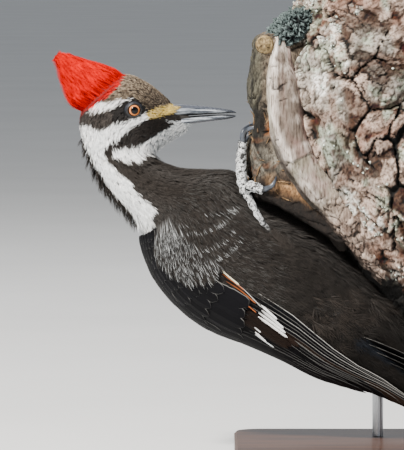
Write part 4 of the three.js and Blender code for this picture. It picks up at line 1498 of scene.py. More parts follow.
@dataclass
class Wing:
    """Builds one folded wing: shell, flight feathers, coverts and the pale marks at its front edge."""

    side: str
    rng: Rng

    @property
    def form(self) -> WingForm:
        """The surface that its feathers lie on."""
        return WingForm(1.0 if self.side == "left" else -1.0)

    def build(self) -> None:
        """Makes the wing's pieces, of which the shell stands for the CAD solids."""
        nodes = [f"wing_{self.side}_{part}" for part in ("coverts", "secondaries", "primaries")]
        settle(self.shell(), nodes)
        settle(vane_object(f"wing_{self.side}_flight", self.form, self.flight(), self.rng, True))
        settle(vane_object(f"wing_{self.side}_cover", self.form, self.coverts(), self.rng, False))
        self.shawl()

    def shawl(self) -> None:
        """Lays the pale-streaked side feathers of the breast over the wing's shoulder."""
        rng = self.rng
        s, share = np.meshgrid(np.linspace(-0.5, 2.7, 32), np.linspace(0.56, 1.2, 16), indexing="ij")
        keep = (share > np.interp(s, (-0.5, 0, 0.5, 1, 1.7, 2.3, 2.7),
                                  (0.9, 0.8, 0.7, 0.6, 0.62, 0.74, 0.92))).ravel()
        s = (s.ravel() + rng.uniform(-0.05, 0.05, s.size))[keep]
        share = (share.ravel() + rng.uniform(-0.02, 0.02, share.size))[keep]
        count = len(s)
        form = self.form
        s, a = form.place(s, share)
        turn = -form.sign * np.interp(s, (0, 1.5, 2.7), (0.5, 0.55, 0.4)) + rng.normal(0, 0.08, count)
        plume = Plume(form, lambda t: np.full(np.shape(t), 0.4), barbs=9, joints=3)
        corners = plume.grow(s, a, rng.uniform(10, 13.5, count), 0.34, 0.55, turn,
                             rng.uniform(0.9, 1.9, count) + np.interp(s, (0, 2.5), (0.8, 0)), rng)
        base = np.broadcast_to(Tone.SLATE.light * 0.7, (count, 9, 3))
        pale = (rng.random((count, 9)) < np.interp(s, (-0.5, 0.5, 2.7), (0.6, 0.45, 0.3))[:, None])[..., None]
        tip = np.where(pale, Tone.WHITE_PAINTED_SHADE.light * rng.uniform(0.03, 0.8, (count, 9, 1)) ** 1.4, base)
        settle_all(coat_pieces(f"coat_shawl_{self.side}", corners, base, tip, np.full(count, 0.5),
                               form.spot(s, np.abs(a)), COAT, rng))

    def shell(self) -> Thing:
        """Makes the thin dark sheet that the feathers lie on, so that no gap shows between them; its dark
        colour is painted shade in the gaps.
        """
        rows, columns = 90, 28
        s, share = np.meshgrid(np.linspace(0.1, 11.4, rows), np.linspace(0.0, 0.96, columns), indexing="ij")
        station, angle = self.form.place(s, share)
        sink = np.interp(s, (0, 4, 6, 8, 12), (2.2, 2.8, 3.6, 3.4, 2.6))
        outer = self.form.lifted(station, angle, -sink)
        inner = self.form.lifted(station, angle, -sink - 0.5)
        points = np.concatenate([outer, inner[:, ::-1]], axis=1)
        return ringed(f"wing_{self.side}_shell", points, SKIN,
                      np.broadcast_to(Tone.WING.light * 0.6, points.shape))

    def flight(self) -> list[Vane]:
        """Lists primaries, secondaries and tertials, outermost first."""
        vanes = []
        tips = (11.2, 11.8, 12.0, 11.9, 11.5, 10.9, 10.3, 9.7, 9.2)
        for k, end in enumerate(tips):  # primaries
            # the primaries' pale edges stand partly for painted highlights along their webs
            vanes.append(Vane((3.9 + 0.1 * k, 1.03 - 0.045 * k), (end, 0.98 - 0.075 * k), 11.0 - 0.2 * k,
                              (-3.3 + 0.32 * k, -2.9 + 0.34 * k),
                              Tone.WING_WORN if 5 <= k <= 6 else Tone.WING,
                              edge=(0.9, 0.2, 0.65, 0.18, 0.5, 0.15, 0.38, 0.12, 0.2)[k], point=0.3,
                              crown=0.12))
        for k in range(8):  # secondaries
            vanes.append(Vane((4.2 - 0.03 * k, 0.72 - 0.065 * k), (9.1 - 0.18 * k, 0.55 - 0.055 * k), 12.0,
                              (-1.4 + 0.18 * k, -0.9 + 0.2 * k), edge=0.14, point=0.2, crown=0.3))
        for k in range(3):  # tertials
            vanes.append(Vane((3.7, 0.26 - 0.09 * k), (8.9 - 0.55 * k, 0.2 - 0.07 * k), 15.0,
                              (-0.2 + 0.3 * k, 0.5 + 0.3 * k), edge=0.14, point=0.25))
        return vanes

    def coverts(self) -> list[Vane]:
        """Lists the coverts, from the strips along the front edge to the small scales of the shoulder."""
        rng = self.rng
        vanes = []
        for start, end, width, tone in (  # pale and rusty strips along the front edge, and the white patches
                ((2.9, 1.15), (3.72, 1.055), 1.1, Tone.CREAM), ((3.65, 1.055), (4.66, 0.965), 0.6, Tone.EDGE),
                ((3.1, 1.1), (3.95, 1.025), 0.6, Tone.RUST), ((3.35, 1.035), (4.45, 0.965), 0.8, Tone.RUST),
                ((4.1, 0.9), (4.62, 0.87), 0.6, Tone.RUST), ((4.6, 0.985), (5.2, 0.955), 1.6, Tone.WHITE),
                ((4.7, 0.935), (5.48, 0.905), 1.9, Tone.WHITE), ((4.68, 0.885), (5.6, 0.86), 1.9, Tone.WHITE),
                ((4.74, 0.835), (5.72, 0.81), 1.9, Tone.WHITE),
                ((4.86, 0.655), (5.08, 0.63), 1.2, Tone.WHITE),
                ((4.96, 0.58), (5.36, 0.5), 1.9, Tone.WHITE),
                ((5.0, 0.535), (5.6, 0.46), 1.2, Tone.WHITE_PAINTED_SHADE)):
            vanes.append(Vane(start, end, width, (0.2, 0.5), tone, edge=0.0, point=0.12))
        vanes += row_of(3, (4.3, 4.4), (5.9, 6.2), (0.66, 0.82), -0.06, 5.5, (-0.8, -0.1), rng,
                        tone=Tone.WING_WORN,
                        edge=0.0)
        vanes += row_of(6, (2.9, 2.5), (5.05, 4.3), (0.12, 0.88), 0.0, 12.5, (-1.2, 0.8), rng, edge=0.35,
                        point=0.22)
        vanes += row_of(7, (1.9, 2.0), (3.7, 3.45), (0.03, 0.9), 0.0, 11.5, (-1.0, 0.9), rng, edge=0.3,
                        point=0.3)
        for k in range(7):  # lesser coverts
            begin = 1.9 - 0.4 * k
            shift = 0.05 * (k % 2)
            vanes += row_of(9, (begin, begin + 0.3), (begin + 0.95, begin + 1.2), (0.02 + shift, 0.9 + shift),
                            0.0,
                            10.0 - 0.5 * k, (-0.8, 0.8), rng, edge=0.3, point=0.42)
        for k in range(8):  # scapulars
            begin = 3.5 - 0.5 * k
            vanes += row_of(3, (begin, begin - 0.1), (begin + 1.4, begin + 1.3), (0.02, 0.2), 0.03, 11.0,
                            (-0.4, 1.2), rng, edge=0.3, point=0.42)
        return vanes

    def samples(self) -> Array:
        """Points well inside the wing's edges, by which feathers hidden under it are known."""
        s, share = np.meshgrid(np.linspace(0.4, 10, 70), np.linspace(0.0, 0.9, 22), indexing="ij")
        return self.form.at(*self.form.place(s, share)).reshape(-1, 3)


# ---- tail
class TailForm(VaneField):
    """The surface of one layer of the tail. Shares run from -1 to 1 over its width in units of 40 mm."""

    LINE = ((-76, 84), (-48.5, 73), (-19.5, 60), (9.5, 48.5), (38.5, 38.5), (64, 31.5))
    HALF = 40.0

    def __init__(self) -> None:
        """Keeps the middle line."""
        self.table = np.array(self.LINE, float)

    def at(self, s: Array, a: Array) -> Array:
        """Points on the arched surface; the angle is the share across."""
        s, a = np.broadcast_arrays(s, a)
        line = between(self.table, s)
        ahead = (between(self.table, np.minimum(s + 0.05, self.last))
                 - between(self.table, np.maximum(s - 0.05, 0)))
        ahead = unit(ahead)
        y = a * self.HALF
        arch = y * y / 150.0
        return np.stack([line[..., 0] - ahead[..., 1] * arch, y, line[..., 1] + ahead[..., 0] * arch], -1)

    def axis(self, s: Array) -> Array:
        """Points on the belly side, from which the surface's outer side faces away."""
        line = between(self.table, s)
        return np.stack([line[..., 0] + 30, 0 * line[..., 0], line[..., 1] + 60], -1)

    def place(self, s: Array, share: Array) -> tuple[Array, Array]:
        """Places are already the form's own."""
        return s, share


@dataclass
class Tail:
    """Builds the stiff pointed tail feathers that prop the bird on the trunk."""

    PAIRS = 5
    SPREAD = (6.2, 8.6)
    LAYER = 2.4
    STEP = 11.0
    LENGTH = 150.0

    rng: Rng

    def build(self) -> None:
        """Makes all the feathers, which stand for the CAD solids."""
        form = TailForm()
        vanes = []
        for sign in (1.0, -1.0):
            for number in range(1, self.PAIRS + 1):
                reach = 1 - (number - 1) * self.STEP / self.LENGTH
                off = [sign * spread * (number - 0.5) * 0.75 / TailForm.HALF for spread in self.SPREAD]
                under = (number - 1) * self.LAYER + (0 if sign > 0 else self.LAYER / 2)
                vanes.append(Vane((0.0, off[0]), (reach * form.last, off[0] + (off[1] - off[0]) * reach),
                                  17.0,
                                  (-under + 0.1, -under + 0.1), edge=0.35, point=0.4))
        nodes = [f"tail_{side}_{number}" for side in ("left", "right") for number in range(1, self.PAIRS + 1)]
        settle(vane_object("tail_vanes", form, vanes, self.rng, True), nodes)


# ---- legs
@dataclass(frozen=True)
class ScaleFinish(Finish):
    """Horny leg skin: pale grey scutes with dark grooves and specks, dry and slightly glossy."""

    cell_mm: float = 0.9

    def dress(self, weave: Weave) -> None:
        """Darkens the mesh's own colour in the grooves between small cells and in scattered specks."""
        groove = weave.span(weave.cells(self.cell_mm, "DISTANCE_TO_EDGE"), (0.0, 0.12), (0.35, 1.0))
        specks = weave.span(weave.noise(1.0 / (0.9 * MM), 3.0), (0.6, 0.53), (0.1, 1.0))
        weave.wear({"Base Color": weave.tint(weave.maths("MULTIPLY", groove, specks)), "Roughness": 0.5})
        weave.bump(groove, 0.6, 0.25)


SCALES = ScaleFinish("leg_scales")


@dataclass
class Leg:
    """Builds one leg: feathered thigh, scaled shank and toes, and curved claws."""

    side: str
    rng: Rng

    THIGH = ((-104, 15.5, 141), (-108, 17, 147), (-117, 22, 159), (-126, 25.5, 170))
    SHANK = ((-119, 23.5, 162), (-123, 25, 166), (-126.5, 26, 171.5), (-133.5, 27, 181), (-141.5, 25, 196.5),
             (-143, 24.5, 200))
    # toes as paths of x, distance from the middle and z, with the radius
    TOES = {"inner": (((-142, 20, 198), (-144.5, 16, 207), (-145.5, 13, 218), (-144, 12, 227)), 2.6),
            "middle": (((-142.5, 24, 197), (-145, 23, 206), (-145.5, 22, 219), (-144.3, 22, 234)), 3.7),
            "outer": (((-143.5, 24, 199), (-138.5, 30, 202.5), (-134.5, 33, 201.5), (-130, 35.4, 199.5)),
                      3.7),
            "rear": (((-142, 21, 196), (-141.5, 16, 192), (-139, 11, 188.5), (-134.5, 7, 186)), 2.4)}
    CLAWS = {"inner": ((-144, 12, 226), (-142.5, 13, 235), (-138.5, 14, 238.5), (-134.5, 15, 236)),
             "middle": ((-144.5, 22, 231.5), (-143.4, 25, 240), (-139, 29, 244), (-133.4, 31, 244.3),
                        (-129.5, 31, 241.4)),
             "outer": ((-132, 34.6, 199.6), (-124.7, 38, 202.3), (-121.7, 37.5, 206), (-120.5, 34, 209.5)),
             "rear": ((-136, 7.6, 186.3), (-130, 5, 184.5), (-126, 4, 187), (-124, 3.5, 190.5))}

    def placed(self, path: Sequence[Sequence[float]]) -> Array:
        """Puts a path on this leg's side."""
        return np.array(path, float) * (1.0, 1.0 if self.side == "left" else -1.0, 1.0)

    def build(self) -> None:
        """Makes the leg's pieces."""
        self.thigh()
        shank = Tube(self.placed(self.SHANK), (0.7, 1.0, 1.5, 2.2, 2.7, 2.5), flat=0.86)
        settle(self.scaled(f"shank_{self.side}", shank, 3.1), [f"tarsus_{self.side}"])
        for name, (path, radius) in self.TOES.items():
            form = Tube(self.placed(path), (radius * 0.92, radius, radius * 0.98, radius * 0.78))
            settle(self.scaled(f"toe_{name}_{self.side}", form, 2.7), [f"toe_{self.side}_{name}"])
            settle(self.claw(name), [f"claw_{self.side}_{name}"])

    def thigh(self) -> None:
        """Makes the short dense feathering of the thigh over its skin."""
        rng = self.rng
        form = Tube(self.placed(self.THIGH), (13.5, 12.6, 9.6, 4.2))
        core = form_object(f"thigh_skin_{self.side}", form, 40, 36, SKIN, -1.6,
                           lambda p: np.broadcast_to(Tone.SLATE.light * 0.6, p.shape).copy())
        settle(core, [f"thigh_{self.side}"])
        s, a = scatter(form, (0.0, 2.8), lambda t: np.interp(t, (0, 3), (3.0, 1.9)), rng)
        count = len(s)
        plume = Plume(form, lambda t: np.interp(t, (0, 3), (2.0, 1.0)), barbs=7, joints=3)
        corners = plume.grow(s, a, np.interp(s, (0, 3), (10.0, 4.5)) * rng.uniform(0.85, 1.15, count),
                             0.4, 0.7, rng.normal(0, 0.12, count),
                             rng.uniform(0.1, 0.7, count), rng)
        base = np.broadcast_to(Tone.SLATE.light, (count, 7, 3))
        settle_all(coat_pieces(f"coat_thigh_{self.side}", corners, base, base * 1.2, np.full(count, 0.3),
                               form.spot(s, a), COAT, rng))

    def scaled(self, name: str, form: Tube, pitch: float) -> Thing:
        """Makes a toe or shank with overlapping scutes on one side and pebbles on the other.

        Args:
            name: the object's name.
            form: its form.
            pitch: length of a scute in millimetres.

        Returns:
            The new object.
        """
        rows, columns = 84, 32
        s, a = form.grid(rows, columns)
        axis = form.axis(s[:, 0])
        run = np.r_[0, np.cumsum(np.linalg.norm(np.diff(axis, axis=0), axis=1))][:, None]
        front = 0.5 - 0.5 * np.cos(a)  # 1 on the side away from the trunk
        tooth = np.mod(run / pitch + 0.15 * np.sin(a * 2), 1.0)
        scutes = 0.42 * tooth ** 0.6 * (1 - soft_step(0.85, 1.0, tooth)) * soft_step(0.3, 0.6, front)
        pads = 0.35 * np.sin(run / pitch * math.pi * 0.8) * soft_step(0.5, 0.1, front)
        rough = 0.2 * fractal(form.at(s, a), 1.6, 3, 5)

        def colours(points: Array) -> Array:
            """Colours the scutes at points in millimetres."""
            tone = mix("#e8ecee", "#9a9ea1", 0.2 + 1.2 * fractal(points, 3.0, 3, 8))
            tone = mix(tone, "#2b2826", soft_step(181, 168, points[..., 2]) * 0.8)
            return mix(tone, "#191a1c", soft_step(0.06, 0.13, fractal(points, 1.5, 2, 18)))

        return form_object(name, form, rows, columns, SCALES, scutes + pads + rough, colours)

    def claw(self, name: str) -> Thing:
        """Makes one strongly curved claw, deeper than it is wide."""
        form = Tube(self.placed(self.CLAWS[name]), (2.2, 1.9, 1.4, 0.95, 0.4), flat=0.72)

        def colours(points: Array) -> Array:
            """Colours the horn at points in millimetres."""
            amount = np.clip(0.5 + 1.5 * fractal(points * np.array([1, 1, 0.4]), 2.5, 2, 3), 0, 1)[..., None]
            return mix("#14171c", "#4a515c", amount[..., 0])

        return form_object(f"talon_{name}_{self.side}", form, 40, 20, CLAW_HORN, 0.0, colours)


# ---- scattered bits
@dataclass(frozen=True)
class Spread:
    """Copies of a small piece over a surface, made with Geometry Nodes.

    Attributes:
        name: the piece's name.
        finish: the finish that it wears.
        density: copies on each square metre where the surface's attribute "where" is one.
        size: smallest and largest scale of a copy.
        tilt: how far a copy leans from the surface's normal, in radians.
        seed: chooses the places.
    """

    name: str
    finish: Finish
    density: float
    size: Pair
    tilt: float
    seed: int

    def tree(self) -> tuple[bpy.types.NodeTree, dict[str, str]]:
        """Builds the node group.

        Returns:
            The group, and the identifier of each of its inputs by name.
        """
        tree = bpy.data.node_groups.new(f"spread_{self.name}", "GeometryNodeTree")
        tree.is_modifier = True
        kinds = {"Surface": "Geometry", "Bit": "Object", "Density": "Float", "Smallest": "Float",
                 "Largest": "Float", "Tilt": "Float", "Seed": "Int"}
        names = {label: tree.interface.new_socket(name=label, in_out="INPUT",
                                                  socket_type=f"NodeSocket{kind}").identifier
                 for label, kind in kinds.items()}
        tree.interface.new_socket(name="Geometry", in_out="OUTPUT", socket_type="NodeSocketGeometry")
        given = add_node(tree, "NodeGroupInput").outputs

        def step(kind: str, inputs: dict) -> Socket:
            """Adds a node and gives its first output."""
            return add_node(tree, kind, inputs).outputs[0]

        where = step("GeometryNodeInputNamedAttribute", {"data_type": "FLOAT", "Name": "where"})
        density = step("ShaderNodeMath", {"operation": "MULTIPLY", 0: where, 1: given["Density"]})
        points = add_node(tree, "GeometryNodeDistributePointsOnFaces", {
            "distribute_method": "RANDOM", "Mesh": given["Surface"], "Density": density,
            "Seed": given["Seed"]}).outputs
        back = step("ShaderNodeMath", {"operation": "MULTIPLY", 1: -1.0, 0: given["Tilt"]})
        low, high = (step("ShaderNodeCombineXYZ", {"X": tilt, "Y": tilt, "Z": turn})
                     for tilt, turn in ((back, 0.0), (given["Tilt"], TURN)))
        lean = step("FunctionNodeRandomValue",
                    {"data_type": "FLOAT_VECTOR", 0: low, 1: high, "Seed": given["Seed"]})
        turned = step("FunctionNodeRotateRotation",
                      {"rotation_space": "LOCAL", "Rotation": points["Rotation"],
                       "Rotate By": lean})
        scale = add_node(tree, "FunctionNodeRandomValue", {
            "data_type": "FLOAT", 2: given["Smallest"], 3: given["Largest"],
            "Seed": given["Seed"]}).outputs[1]
        copies = step("GeometryNodeInstanceOnPoints", {
            "Points": points["Points"], "Rotation": turned, "Scale": scale,
            "Instance": add_node(tree, "GeometryNodeObjectInfo",
                                 {"Object": given["Bit"]}).outputs["Geometry"]})
        real = step("GeometryNodeRealizeInstances", {"Geometry": copies})
        worn = step("GeometryNodeSetMaterial", {"Material": self.finish.material(), "Geometry": real})
        add_node(tree, "NodeGroupOutput", {"Geometry": worn})
        return tree, names

    def over(self, surface: Thing, bit: Thing) -> Thing:
        """Spreads copies of bit over a surface and bakes them into one mesh; bit is used up."""
        holder = bpy.data.objects.new(f"{self.name}_holder", surface.data)
        bpy.context.scene.collection.objects.link(holder)
        modifier = holder.modifiers.new("spread", "NODES")
        modifier.node_group, names = self.tree()
        for label, value in (("Bit", bit), ("Density", self.density), ("Smallest", self.size[0]),
                             ("Largest", self.size[1]), ("Tilt", self.tilt), ("Seed", self.seed)):
            modifier[names[label]] = value
        shot = holder.evaluated_get(bpy.context.evaluated_depsgraph_get())
        mesh = bpy.data.meshes.new_from_object(shot)
        made = bpy.data.objects.new(self.name, mesh)
        bpy.context.scene.collection.objects.link(made)
        holder.modifiers.remove(modifier)
        for used in (holder, bit):
            bpy.data.objects.remove(used)
        return made


def weigh(surface: Thing, values: Array) -> Thing:
    """Gives a surface the attribute "where", which says how thickly bits lie at each vertex."""
    layer = surface.data.attributes.new("where", "FLOAT", "POINT")
    layer.data.foreach_set("value", values.astype(np.float32).ravel())
    return surface


# ---- perch
@dataclass(frozen=True)
class RoughFinish(Finish):
    """Dry plant matter with colour from the mesh, broken up by stretched or even grain."""

    grain_mm: float = 1.2
    stretch: tuple[float, float, float] = (1.0, 1.0, 1.0)
    contrast: tuple[str, str, str] = ("#7d756d", "#e0dbd6", "#ffffff")
    depth_mm: float = 0.5
    roughness: float = 0.9

    def dress(self, weave: Weave) -> None:
        """Multiplies the mesh's colour by the grain and raises it."""
        grain = weave.noise(1.0 / (self.grain_mm * 2 * MM), 8.0, self.stretch, Roughness=0.62)
        tones = weave.ramp(grain, *zip((0.34, 0.5, 0.66), self.contrast))
        weave.wear({"Base Color": weave.tint(tones), "Roughness": self.roughness, "Specular IOR Level": 0.3})
        weave.bump(grain, 0.9, self.depth_mm)


BARK = RoughFinish("bark_plates", grain_mm=1.1, depth_mm=0.8)  # corky flakes, dry and matt
CALLUS = RoughFinish("bare_callus_wood", grain_mm=0.8, stretch=(1.0, 1.0, 0.14), depth_mm=0.6, roughness=0.75,
                     contrast=("#7b726b", "#dcd6d1", "#ffffff"))
FIBRES = RoughFinish("weathered_fibres", grain_mm=0.8, stretch=(1.0, 1.0, 0.5), depth_mm=0.8, roughness=0.85,
                     contrast=("#5b5148", "#d2cbc2", "#fbf6ee"))
LICHEN = RoughFinish("lichen_lobes", grain_mm=0.8, depth_mm=0.3, contrast=("#8f9a97", "#e4ebe8", "#ffffff"))
SAWN = RoughFinish("sawn_end_grain", grain_mm=0.5, depth_mm=0.15, contrast=("#b9a890", "#e9dfcf", "#ffffff"))


class Perch:
    """Builds the cut length of leaning trunk, its broken stub and the smooth lips around the stub."""

    LOG_LINE = ((-40, 0, 360), (-46, 0, 322), (-55.5, 0, 284), (-53.5, 0, 246.5), (-36, 0, 211.5),
                (-13, 0, 187),
                (12, 0, 167), (42, 0, 138.5), (74.5, 0, 106), (114.5, 0, 65.5))
    LOG_RADIUS = 60.0
    LOG_LENGTH = 365.0
    UNDERSIDE = (0, 6, 5, 5.5, 9, 11.5, 13, 8, 0)  # swelling towards the bird, from 128 to 274 mm along
    PLATE = np.array([34.0, 34.0, 42.0])  # size of the bark's main plates
    LIP_PATH = ((-116.5, 28, 309), (-118, 31, 284), (-117.5, 33, 262), (-114.5, 34, 240), (-108, 34, 222),
                (-96.5, 34, 204), (-82, 34, 187), (-69, 32, 169), (-55.5, 27, 150), (-41, 20, 134))
    LIP_RADII = (5.5, 9.5, 10, 10.2, 10, 9.6, 9, 8, 6.5, 4)
    STUB_OUTLINE = ((-134, 308), (-138, 291.5), (-140.5, 270), (-138.5, 259), (-135, 250.5), (-139.5, 238),
                    (-141, 222.5), (-139.5, 208), (-135, 192), (-123, 185.5), (-107, 177), (-86, 165),
                    (-70, 156),
                    (-66, 190), (-80, 226), (-85, 262), (-85, 298), (-104, 309), (-122, 311.5))
    STUB_MIDDLE = (-85.0, 250.0)
    STUB_DEPTH = 34.0

    def __init__(self) -> None:
        """Keeps the trunk's form."""
        self.log = Tube(self.LOG_LINE, (self.LOG_RADIUS,) * 10)

    def build(self) -> None:
        """Makes every piece of the perch."""
        trunk = settle(self.trunk(), ["perch_log"])
        crumbs = Spread("lichen_crumbs", LICHEN, 90_000.0, (0.5, 1.5), 0.6, 4)
        settle(crumbs.over(trunk, self.crumb()))
        for name, s in (("top", 0.0), ("bottom", self.log.last)):
            settle(self.sawn_end(name, s))
        for name, sign in (("near", -1.0), ("far", 1.0)):
            settle(self.lip(name, sign), [f"perch_lip_{name}"])
        stub = settle(self.stub(), ["perch_stub"])
        splinters = Spread("stub_splinters", FIBRES, 14_000.0, (0.5, 1.1), 0.35, 8)
        settle(splinters.over(stub, self.splinter()))
        settle(self.knob())
        mound = self.mound()
        lobes = Spread("lichen_cushion", LICHEN, 330_000.0, (0.8, 1.45), 0.75, 6)
        settle(lobes.over(mound, self.lobe()))
        settle(mound)

    def trunk(self) -> Thing:
        """Makes the trunk's bark: thick flat plates parted by deep cracks and flaked into thin layers."""
        rows, columns = 312, 312
        s, a = self.log.grid(rows, columns)
        run = self.log.run(s) * self.LOG_LENGTH
        local = np.stack([self.LOG_RADIUS * np.cos(a), self.LOG_RADIUS * np.sin(a), run], -1)
        x, y, z = np.moveaxis(local, -1, 0)
        bend = 6 * np.stack([np.sin(z / 19 + y / 37), np.sin(z / 23 + x / 31 + 4.1),
                             np.sin(x / 17 + y / 21 + 1.7)], -1)
        ragged = np.stack([fractal(local, 9, 4, 40 + 9 * k) for k in range(3)], -1)
        border, plate = cells((local + bend + 6 * ragged) / self.PLATE)
        small, chip = cells((local + 0.6 * bend + 7 * ragged) / np.array([14.0, 14.0, 11.0]), 5)
        tiny, flake = cells((local + 5 * ragged) / 6.0, 9)
        gape = 0.03 + 0.1 * patches(0.02, 0.16, local, 44, 2, 61)  # how wide the main cracks stand open
        crack = (1 - soft_step(0.3 * gape, gape, border)) * patches(-0.1, 0.02, local, 26, 2, 66)
        chink = (1 - soft_step(0.02, 0.07, small)) * patches(-0.02, 0.08, local, 26, 2, 71)
        rough = fractal(local + bend, 18, 5, 21)
        level = rough * 9 + 1.3 * chip + 0.5 * flake
        ledge = level - np.floor(level)
        lift = (-5.0 * crack - 1.6 * chink + 3.4 * (plate - 0.5) + 2.6 * (chip - 0.5) + 1.2 * (flake - 0.5)
                + 2.2 * (np.floor(level) / 9 + rough * 0.3) + 1.5 * fractal(local, 3.2, 3, 5))
        relief = lift
        share = np.clip((run - 128) / 146, 0, 1) * (len(self.UNDERSIDE) - 1)
        lift = (lift + np.interp(share, range(len(self.UNDERSIDE)), self.UNDERSIDE)
                * np.maximum(0, -np.cos(a)) ** 9)
        tone = mix("#5b4b43", "#cdbbb0",
                   0.5 + 2.3 * fractal(local, 9, 5, 33) + 0.5 * (chip - 0.5) + 0.4 * (flake - 0.5))
        tone = mix(tone, "#9fa09b", 0.7 * patches(-0.02, 0.12, local, 30, 3, 77))
        green = patches(0.02, 0.1, local, 24, 4, 91) * patches(-0.08, 0.06, local, 4, 3, 93)
        tone = mix(tone, "#b4c3b4", 0.75 * green)
        chalk = patches(0.09, 0.15, local, 17, 4, 95) * patches(-0.03, 0.05, local, 3, 2, 96)
        tone = mix(tone, "#eceee8", chalk)
        torn = soft_step(0.3, 0.1, border) * patches(0.0, 0.12, local, 17, 3, 99)
        tone = layered(tone, (
            ("#6d4636", 0.5 * torn),
            # painted shadow under the flakes' steps
            ("#3a2c25", 0.7 * soft_step(0.8, 0.97, ledge)),
            # painted shade in the hollows
            ("#2a1e18", 0.8 * soft_step(0.5, -2.6, relief)),
            # painted shade in the cracks and chinks
            ("#0d0a08", np.maximum(soft_step(0.1, 0.7, crack), 0.8 * soft_step(0.2, 0.8, chink))),
            # painted shade in the fine cracks between flakes
            ("#1b130f", 0.7 * soft_step(0.09, 0.02, tiny) * patches(0.0, 0.1, local, 15, 2, 72))))
        # painted shadow: the trunk's underside towards the bird is near black
        below = soft_step(0.66, 0.93, -np.cos(a)) * soft_step(118, 150, run)
        tone = mix(tone, "#120e0c", 0.95 * below)
        tone = np.clip(1.2 * tone - 0.035, 0.004, 0.9)  # deepens the cracks and lifts the chalky plates
        trunk = form_object("trunk", self.log, rows, columns, BARK, lift, lambda _: padded(tone))
        where = (0.10 * green + chalk) * (1 - below) * (1 - crack) * (run > 6) * (run < 358)
        return weigh(trunk, padded(where))

    def crumb(self) -> Thing:
        """Makes one crumb of crust lichen, about a millimetre and a half across."""
        points = np.array([(1, 0, 0), (0.2, 1, 0.1), (-0.9, 0.3, 0), (-0.2, -0.9, 0), (0, 0, 0.8),
                           (0, 0, -0.5)])
        faces = [(k, (k + 1) % 4, 4) for k in range(4)] + [((k + 1) % 4, k, 5) for k in range(4)]
        tone = np.broadcast_to(linear("#dfe5dc"), points.shape)
        return mesh_object("crumb", points * 0.9 * MM, np.array(faces), LICHEN, tone)

    def lobe(self) -> Thing:
        """Makes one curled lobe of leafy lichen, about six millimetres long, from dark root to pale rim."""
        t = np.linspace(0, 1, 5)[:, None]
        turn = np.arange(5) / 5 * TURN
        wide = (0.5 + 1.5 * np.sin(np.pi * t ** 0.8) ** 0.7 + 0.25 * t)
        x = wide * np.cos(turn) * (1 - 0.85 * (t > 0.99))
        y = 0.28 * np.sin(turn) + 2.2 * t ** 2 + 0.35 * (x / 1.5) ** 2
        z = -0.8 + 5.2 * t + 0 * turn
        points = np.stack([x, y, z], -1)
        tone = mix("#161c1f", "#6f7c7d", soft_step(0.5, 1.0, t + 0 * turn))
        return ringed("lobe", points, LICHEN, tone)

    def splinter(self) -> Thing:
        """Makes one splinter of torn wood, about nine millimetres long, that lies along the surface."""
        t = np.linspace(0, 1, 5)[:, None]
        turn = np.arange(4) / 4 * TURN
        wide = 0.75 * (1 - t ** 2) + 0.04
        points = np.stack([9 * t - 2 + 0 * turn, wide * np.cos(turn),
                           0.4 + 1.8 * t ** 2 + wide * np.sin(turn)], -1)
        tone = mix("#4d3d30", "#a98d68", t + 0 * turn)
        return ringed("splinter", points, FIBRES, tone)

    def mound(self) -> Thing:
        """Makes the dark core of the lichen cushion that sits on top of the stub and lips."""
        polar, turn = sphere_grid(60, 80, 0.02)
        long, deep = np.cos(turn) * np.sin(polar), np.sin(turn) * np.sin(polar)
        points = np.stack([16.5 * long - 6.2 * deep - 107.5, 38 * np.cos(polar),
                           13.5 * long + 6.5 * deep + 314.5], -1)
        points = points + np.array([-0.7, 0, 0.7]) * (5 * fractal(points, 15, 3, 12))[..., None]
        tone = mix("#1a2023", "#3c4548", 0.5 + fractal(points, 5, 2, 3))
        mound = ringed("lichen_mound", points, LICHEN, tone)
        clear = np.hypot(points[..., 0] + 44, points[..., 1]) > 57  # outside the trunk
        return weigh(mound, clear * 1.0)

    def knob(self) -> Thing:
        """Makes the old twig end at the top of the stub, with its rough tip turned to the near side."""
        form = Tube(((-123, -20, 299), (-127, -26, 302.5), (-129, -33, 304.5), (-129.6, -36, 305)),
                    (5.5, 6.8, 6.6, 4.5))
        rows, columns = 60, 60
        s, a = form.grid(rows, columns)
        local = np.stack([6 * np.cos(a), 6 * np.sin(a), s * 6], -1)
        lift = 0.9 * fractal(local, 4, 3, 7)
        tone = mix("#6f6043", "#b5a27c", 0.5 + 1.6 * fractal(local, 3, 3, 9))
        tone = mix("#55483a", tone, soft_step(1.2, 2.2, s))
        return form_object("twig_end", form, rows, columns, FIBRES, lift, lambda _: padded(tone))

    def sawn_end(self, name: str, s: float) -> Thing:
        """Makes a sawn end face with growth rings around a centre that lies off the middle."""
        rings, columns = 44, 110
        share = np.linspace(0.01, 1.0, rings)[:, None]
        a = np.arange(columns) / columns * TURN
        edge = self.log.at(np.full(columns, s), a)
        middle = self.log.axis(np.array([s]))[0]
        ahead = self.log.axis(np.array([min(s + 0.1, self.log.last)]))[0] \
            - self.log.axis(np.array([max(s - 0.1, 0.0)]))[0]
        out = unit(ahead) * (-1.0 if s == 0 else 1.0)
        flat = middle + (edge - middle)[None] * share[..., None] * 0.955
        rings_at = np.hypot(share * np.cos(a) - 0.15, share * np.sin(a) + 0.08)
        band = 0.5 + 0.5 * np.sin(rings_at * 170 + 4 * fractal(flat, 25, 2, 5))
        saw = 0.12 * fractal(flat * np.array([1.0, 0.15, 1.0]), 1.5, 2, 9)
        points = np.concatenate([flat + out * (0.55 + saw[..., None]), flat[::-1] - out * 1.5])
        tone = mix("#8c6f4f", "#c9ad84", 0.25 + 0.6 * band + fractal(flat, 12, 3, 2))
        tone = mix(tone, "#4a3b31", soft_step(0.9, 0.96, share))
        return ringed(f"trunk_cut_{name}", points, SAWN, np.concatenate([tone, tone[::-1]]))

